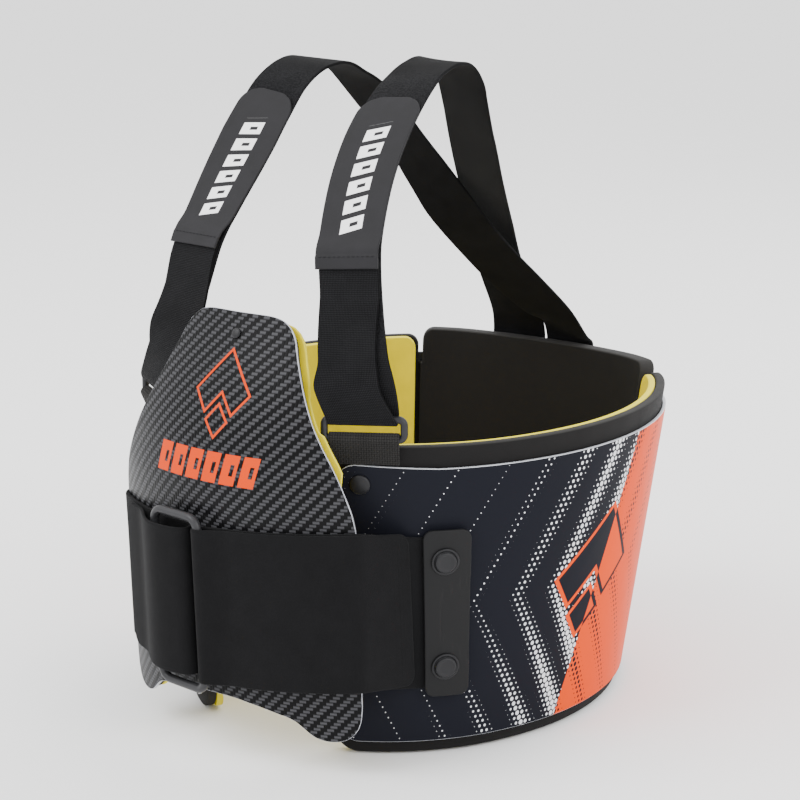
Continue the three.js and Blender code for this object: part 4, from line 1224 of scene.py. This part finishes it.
def joined(first, last, shares):
    """Stations on the way from one to another."""

    def at(share):
        def station(z):
            (pa, na), (pb, nb) = first(z), last(z)
            return pa + (pb - pa) * share, unit(na + (nb - na) * share)

        return station

    return [at(share) for share in shares]


def on_wrap(s, off, turned=1, rise=0, lean=0):
    def station(z):
        p, n = wrap_at(s + lean * (z - BAND_RING["middle"]), z + rise, off)
        return p, n * turned

    return station


def on_panel(across, off, turned=1):
    def station(z):
        p, n = panel_at(across, z + np.interp(across, *np.transpose(BAND_RISE)), off)
        return p, n * turned

    return station


def leaned(across, off, angle):
    """Over the panel, with the thickness direction turned by an angle towards the roll's edge."""

    def station(z):
        p, n = panel_at(across, z, off)
        return p, unit(n * math.cos(angle) - level_axes(n)[0] * math.sin(angle))

    return station


def band_stations(side, stop, plate_rise):
    """Under the plate and over the panel, up to the ring."""
    start = HALF_GIRTH - PLATE["at"] - PLATE["width"] / 2 + 3
    places = start + np.arange(17) * 2
    stations = [on_wrap(side * s, SHELL_FACE + BAND_LOW, 1, plate_rise) for s in places]
    across = np.linspace(side * BAND_PANEL_FROM, stop, 48)
    first = on_panel(across[0], BAND_LOW)
    stations += joined(stations[-1], first, np.arange(1, JOIN_STEPS) / JOIN_STEPS)
    return stations + [on_panel(a, BAND_LOW) for a in across]


def station_rows(stations, run, at, heights):
    """Points and normals at each length and height, eased along the band."""
    points, normals = (np.array(rows) for rows in zip(*(station(heights) for station in stations)))
    place = np.clip(np.interp(at, run, np.arange(len(run))), 0, len(run) - 1.000001)
    i = place.astype(int)
    t = (place - i)[:, None, None]
    p = eased(points[i] * (1 - t) + points[i + 1] * t, BAND_EASE)
    n = eased(normals[i] * (1 - t) + normals[i + 1] * t, BAND_EASE)
    return p, unit(n)


def at_heights(rows, heights, z):
    """Rows known at even heights, read at each row's own heights."""
    row = (z - heights[0]) / (heights[1] - heights[0])
    j = np.clip(row.astype(int), 0, len(heights) - 2)
    share = (row - j)[..., None]
    k = np.arange(len(rows))[:, None]
    return rows[k, j] * (1 - share) + rows[k, j + 1] * share


def band_mesh(node, stations, middle, height, free_corner, wave):
    """A band from stations, with its free end's corners rounded, and its length."""
    low = middle - height / 2
    high = middle + height / 2
    run = lengths(np.array([station(np.array([middle]))[0][0] for station in stations]))
    close_to_end = run[-1] - np.geomspace(0.05, 14, 16)
    at = np.unique(np.concatenate([np.arange(0, run[-1], 1.4), close_to_end, [run[-1]]]))
    cut = rounded_off(run[-1] - at, free_corner)
    z = column_rows(low + cut, high - cut, ROWS["band"])
    heights = np.linspace(low, high, 25)
    p, n = station_rows(stations, run, at, heights)
    p = at_heights(p, heights, z)
    n = unit(at_heights(n, heights, z))
    along = at[:, None]
    swell = wave * np.sin(along / 17) * np.sin(z / 31 + along / 60)
    flat = np.stack([np.broadcast_to(along, z.shape), z], -1)

    def place(off):
        return p + n * (off + swell)[..., None]

    made = sheet_mesh(node, place, flat, BAND_THICKNESS, ROUNDING["band"], ["band_fabric"])
    return made, run[-1]


def eased(rows, reach):
    """Rows averaged with their neighbours, ends kept."""
    padded = np.concatenate([np.repeat(rows[:1], reach, 0), rows, np.repeat(rows[-1:], reach, 0)])
    total = sum(padded[k : k + len(rows)] for k in range(2 * reach + 1))
    made = total / (2 * reach + 1)
    made[0] = rows[0]
    made[-1] = rows[-1]
    return made


def build_band_left():
    """From under the plate round the ring's near bar and back, with a free flap over the plate."""
    stop = BAND_RING["across"] + BAND_RING["width"] / 2 + 9
    stations = band_stations(1, stop, BAND_PLATE_RISE)
    radius = BAND_RING["wire"] / 2 + LAYER_GAP + BAND_THICKNESS / 2 + BAR_SLACK
    stations += [beside_bar(a, radius) for a in np.linspace(0, math.pi, 17)]
    stations += [on_panel(a, BAND_LAID, -1) for a in np.linspace(stop, BAND_PANEL_FROM, 40)[1:]]
    flap_s = HALF_GIRTH - PLATE["at"] + PLATE["width"] / 2 + BAND_FLAP["past"]
    flap = on_wrap(flap_s, SHELL_FACE + BAND_LAID, -1, BAND_FLAP["rise"], BAND_FLAP["lean"])
    stations += joined(stations[-1], flap, np.arange(1, JOIN_STEPS + 1) / JOIN_STEPS)
    middle = BAND_BOTTOM + BAND_HEIGHT / 2
    made, length = band_mesh("closure_band_left", stations, middle, BAND_HEIGHT, 7, 0.12)
    length * MM


def build_band_right():
    """A slack roll round the ring's far bar, laid back on itself."""
    bar = BAND_RING["across"] - BAND_RING["width"] / 2 + BAND_RING["wire"] / 2
    over = BAND_RING["lift"] + BAND_RING["wire"] / 2 + LAYER_GAP + BAND_THICKNESS / 2 + 0.4
    radius = (over - BAND_LOW) / 2
    edge = bar + ROLL_SLACK - radius
    stations = band_stations(-1, edge, 0)
    for a in np.linspace(0, math.pi, 19)[1:]:
        stations.append(leaned(edge + radius * math.sin(a), BAND_LOW + radius * (1 - math.cos(a)), a))
    foot = bar - ROLL_FOOT
    for share in np.linspace(0, 1, 31)[1:]:
        crown = (ROLL_CROWN - over) * math.sin(math.pi * share)
        fall = (1 - math.cos(math.pi * share)) / 2
        off = over + (BAND_LAID - over) * fall * fall + crown
        stations.append(on_panel(edge + (foot - edge) * share, off, -1))
    stations += [on_panel(a, BAND_LAID, -1) for a in np.linspace(foot, foot - ROLL_TAIL, 12)[1:]]
    middle = BAND_RING["middle"] + 1
    made, length = band_mesh("closure_band_right", stations, middle, ROLL_HEIGHT, 9, 0.1)
    length * MM


# Straps

CHEST_Y = -60
PATH_STEPS = 700
PATH_STEP = 0.004


def upper_bar(side):
    """Middle of the strap ring's upper bar, the ring's normal, and the bar's direction."""
    centre, n = strap_ring_place(side)
    centre[2] = STRAP_RING["middle"] + STRAP_RING["height"] / 2 - STRAP_RING["wire"] / 2
    return centre, n, level_axes(n)[0]


def strap_rows(side):
    """The strap's middle line from the ring's bar to its end low on the back."""
    path = STRAP_LEFT_PATH if side > 0 else STRAP_RIGHT_PATH
    centre, n, _ = upper_bar(side)
    off = LAYER_GAP * 2 + SHELL["thickness"] + STRAP_THICKNESS / 2 + STRAP_BACK_LIFT
    ends = [wrap_at(STRAP_BACK[side], FOAM_HEIGHT + rise, off)[0] for rise in STRAP_BACK_RISES]
    return np.array([centre - n * FOLD_RADIUS, *(np.array(path) + (0, 0, FOAM_HEIGHT)), *ends])


def path_points(rows, t):
    last = len(rows) - 1
    at = np.clip(np.asarray(t) * last, 0, last - 1e-6)
    table = np.column_stack([np.arange(len(rows)), rows])
    return np.stack([curve(table, at, axis) for axis in (1, 2, 3)], -1)


def strap_line(rows, side, t):
    """Points, normals away from the wearer, width directions and headings along a strap."""
    p = path_points(rows, t)
    ahead = path_points(rows, np.minimum(1, t + PATH_STEP))
    along = unit(ahead - path_points(rows, np.maximum(0, t - PATH_STEP)))
    above = np.maximum(0, p[:, 2] - FOAM_HEIGHT - 55)
    share = (p[:, 1] - FACE_SPREAD["front_y"]) / (FACE_SPREAD["back_y"] - FACE_SPREAD["front_y"])
    spread = FACE_SPREAD["front"] + (FACE_SPREAD["back"] - FACE_SPREAD["front"]) * np.clip(share, 0, 1)
    depths, left, right = np.transpose(FACE_LEAN)
    lean = np.interp(p[:, 1], depths, left if side > 0 else right)
    away = np.stack([p[:, 0] * spread + lean, p[:, 1] + 8, above * 0.8], -1)
    w = unit(np.cross(along, away))
    return p, unit(np.cross(w, along)), w, along


def eased_to_ring(line, bar):
    """Near the ring the strap turns square to the ring's bar."""
    p, _, w, along = line
    centre, _, bar_w = bar
    low = (p[:, 1] < CHEST_Y) & (p[:, 2] < RING_EASE_TOP)
    part = np.clip((RING_EASE_TOP - p[:, 2]) / (RING_EASE_TOP - centre[2] - 6), 0, 1) * low
    w = unit(w * (1 - part[:, None]) + bar_w * part[:, None])
    return p, unit(np.cross(w, along)), w


def even_line(p, n, w, step, reach):
    """The same line with stations at even steps, eased over a few of them, and its length so far."""
    run = lengths(p)
    ends = np.array([0.05, 0.15, 0.35, 0.7])
    even = np.linspace(0, run[-1], round(run[-1] / step) + 1)
    at = np.unique(np.concatenate([even, ends, run[-1] - ends]))

    def read(rows):
        return eased(np.stack([np.interp(at, run, rows[:, k]) for k in range(3)], -1), reach)

    return read(p), unit(read(n)), unit(read(w)), at


def strap_layers(side):
    """The strap's whole line: front layer down to the ring, round its bar, up and over to the back."""
    bar = upper_bar(side)
    centre, bar_n, bar_w = bar
    t = np.linspace(0, 1, PATH_STEPS)
    p, n, w = eased_to_ring(strap_line(strap_rows(side), side, t), bar)
    top = FOAM_HEIGHT + LABEL_ENDS[side][0] + FRONT_LAYER_HID
    front = (p[:, 2] <= top) & (p[:, 1] < CHEST_Y) & (p[:, 2] > centre[2] + 11)
    share = np.clip((p[:, 2] - centre[2]) / (RING_EASE_TOP - centre[2]), 0, 1)
    gap = FOLD_RADIUS * 2 * (1 - share) + (STRAP_THICKNESS + 2 * LAYER_GAP) * share
    shift = -side * np.interp(p[:, 2] - FOAM_HEIGHT, *np.transpose(FRONT_SHIFT))
    front_p = (p + n * gap[:, None] + w * shift[:, None])[front][::-1]
    turn = np.linspace(0, np.pi, 13)
    out = bar_n * np.cos(turn)[:, None] - np.array([0, 0, 1]) * np.sin(turn)[:, None]
    beside = -side * FRONT_SHIFT[0][1] * np.linspace(1, 0, len(turn))
    turn_p = centre + out * FOLD_RADIUS + bar_w * beside[:, None]
    behind = t > PATH_STEP
    line_p = np.concatenate([front_p, turn_p, p[behind]])
    line_n = np.concatenate([n[front][::-1], out, -n[behind]])
    line_w = np.concatenate([w[front][::-1], np.broadcast_to(bar_w, out.shape), w[behind]])
    return even_line(line_p, line_n, line_w, 1.2, 3)


def strip_rows(line, width, rows):
    half = np.full(len(line[3]), width / 2)
    return column_rows(-half, half, rows)


def build_strap(side):
    line = strap_layers(side)
    across = strip_rows(line, STRAP_WIDTH, ROWS["strap"])
    node = f"strap_{SIDES[side]}"
    made = ribbon_mesh(node, line, across, STRAP_THICKNESS, ROUNDING["strap"], ["strap_fabric"])
    line[3][-1] * MM


HEM = {"length": 8.0, "thick": 0.5, "lift": 2.75, "ease": 13.0}
STITCH = {"pitch": 3.2, "length": 2.5, "radius": 0.28, "inset": 1.2}
STITCH_SIDES = 6
STITCH_RINGS = 5


def label_line(side):
    """The label's line on the strap: its hem rides over the end of the strap's front layer."""
    low, high = np.add(LABEL_ENDS[side], FOAM_HEIGHT)
    p, n, w, _ = strap_line(strap_rows(side), side, np.linspace(0, 1, 3000))
    part = slice(np.argmax(p[:, 2] >= low), np.argmax(p[:, 2] > high))
    p, n, w = p[part], n[part], w[part]
    ramp = np.clip((lengths(p) - FRONT_LAYER_HID - 2) / HEM["ease"], 0, 1)
    ramp = ramp * ramp * (3 - 2 * ramp)
    lift = STRAP_THICKNESS / 2 + LAYER_GAP + LABEL_THICKNESS / 2 + HEM["lift"] * (1 - ramp)
    return even_line(p + n * lift[:, None], n, w, 1.0, 2)


def build_label(side):
    line = label_line(side)
    run = line[3]
    half = LABEL_WIDTH / 2 - rounded_off(run[-1] - run, LABEL_CORNER)
    across = column_rows(-half, half, ROWS["label"])
    hem = HEM["thick"] * np.clip((HEM["length"] - run) / 0.6, 0, 1)
    raised = np.broadcast_to(hem[:, None], across.shape)
    node = f"strap_label_{SIDES[side]}"
    rounding = ROUNDING["label"]
    made = ribbon_mesh(node, line, across, LABEL_THICKNESS, rounding, ["label_fabric"], raised)
    stitches = build_hem_stitches(f"{node}_stitches", line)
    run[-1] * MM


def stitch_mesh(name, starts, heading, n):
    """Short raised threads from their starts, each an arc of rings, joined in one mesh."""
    share = np.linspace(0, 1, STITCH_RINGS)
    arc = np.sin(np.pi * share)
    a = np.linspace(0, 2 * np.pi, STITCH_SIDES, endpoint=False)
    ahead = heading * STITCH["length"] * share[:, None] + n * (STITCH["radius"] * (arc - 0.2))[:, None]
    circle = unit(np.cross(heading, n)) * np.cos(a)[:, None] + n * np.sin(a)[:, None]
    thick = STITCH["radius"] * (0.35 + 0.65 * arc)
    points = starts[:, None, None] + ahead[:, None] + circle * thick[:, None, None]
    index = np.arange(points.size // 3).reshape(points.shape[:3])
    caps = [index[:, 0, ::-1], index[:, -1]]
    faces = [*ring_quads(index).tolist(), *caps[0].tolist(), *caps[1].tolist()]
    made = link_mesh(name, points, faces, ["thread"])
    add_flat(made, np.zeros((index.size, 2)), np.zeros(index.size))
    return made


def build_hem_stitches(name, line):
    """A row of stitches across the label's hem."""
    p, n, w, run = line
    k = np.argmin(np.abs(run - (HEM["length"] - STITCH["inset"])))
    face = p[k] + n[k] * (LABEL_THICKNESS / 2 + HEM["thick"] + 0.05)
    places = np.arange(-LABEL_WIDTH / 2 + 2.2, LABEL_WIDTH / 2 - 4, STITCH["pitch"])
    made = stitch_mesh(name, face + w[k] * places[:, None], w[k], n[k])
    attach(made, "root")
    return made


def build_ring_loop(side):
    """Webbing from between foam and shell, up and over the ring's lower bar."""
    ring, n = strap_ring_place(side)
    bar_z = STRAP_RING["middle"] - STRAP_RING["height"] / 2 + STRAP_RING["wire"] / 2
    radius = STRAP_RING["wire"] / 2 + LAYER_GAP + LOOP_THICKNESS / 2 + BAR_SLACK
    centre = np.array([ring[0], ring[1], bar_z])
    s = side * (HALF_GIRTH - STRAP_RING_AT[side])
    low = wrap_at(s, shell_top(s) + 0.8, LAYER_GAP * 2 + LOOP_THICKNESS / 2 + 1.4)[0]
    share = np.linspace(0, 1, 12)[:-1, None]
    straight = low + (centre + n * radius - low) * share
    turn = np.linspace(0, np.pi, 15)
    out = n * np.cos(turn)[:, None] + np.array([0, 0, 1]) * np.sin(turn)[:, None]
    p = np.concatenate([straight, centre + out * radius])
    normals = np.concatenate([np.broadcast_to(n, straight.shape), out])
    line = even_line(p, normals, np.broadcast_to(level_axes(n)[0], p.shape), 0.8, 1)
    across = strip_rows(line, LOOP_WIDTH, ROWS["loop"])
    node = f"ring_loop_{SIDES[side]}"
    made = ribbon_mesh(node, line, across, LOOP_THICKNESS, ROUNDING["loop"], ["webbing"])
    line[3][-1] * MM


# Stage


def add_object(name, data, location, target=None):
    """An object in the scene, turned towards its target if it has one."""
    made = bpy.data.objects.new(name, data)
    made.location = location
    if target is not None:
        made.rotation_euler = (Vector(target) - made.location).to_track_quat("-Z", "Y").to_euler()
    bpy.context.scene.collection.objects.link(made)
    return made


def add_camera():
    data = bpy.data.cameras.new("camera")
    data.lens = CAMERA_LENS
    data.sensor_width = 36
    data.clip_start = 0.05
    data.clip_end = 60
    bpy.context.scene.camera = add_object("camera", data, CAMERA_AT, CAMERA_TARGET)


def add_light(name, place, width, height, power):
    data = bpy.data.lights.new(name, "AREA")
    data.shape = "RECTANGLE"
    data.size = width
    data.size_y = height
    data.energy = power
    add_object(name, data, place, LIGHT_TARGET)


def add_floor():
    mesh = bpy.data.meshes.new("floor")
    corners = [(x * FLOOR_HALF, y * FLOOR_HALF, 0) for x, y in ((-1, -1), (1, -1), (1, 1), (-1, 1))]
    mesh.from_pydata(corners, [], [(0, 1, 2, 3)])
    mesh.materials.append(Look("floor", FLOOR_COLOUR, 0.9).material)
    add_object("floor", mesh, (0, 0, FLOOR_HEIGHT))


def add_world():
    world = bpy.data.worlds.new("studio")
    world.use_nodes = True
    background = world.node_tree.nodes["Background"]
    background.inputs["Color"].default_value = (1, 1, 1, 1)
    background.inputs["Strength"].default_value = WORLD_STRENGTH
    bpy.context.scene.world = world


def build_all():
    build_foam_wrap()
    build_shell()
    build_panel()
    build_pads()
    build_panel_rivet()
    ring_mesh("band_ring", band_ring_place(), BAND_RING, 7, 3, "ring_grey")
    build_band_left()
    build_band_right()
    for side in (1, -1):
        build_liner(side)
        build_plate(side)
        build_rivets(side)
        ring_mesh(f"strap_ring_{SIDES[side]}", strap_ring_place(side), STRAP_RING, 3.4, 2, "ring_black")
        build_ring_loop(side)
        build_strap(side)
        build_label(side)


build_all()
add_floor()
add_world()
for light in LIGHTS:
    add_light(*light)
add_camera()
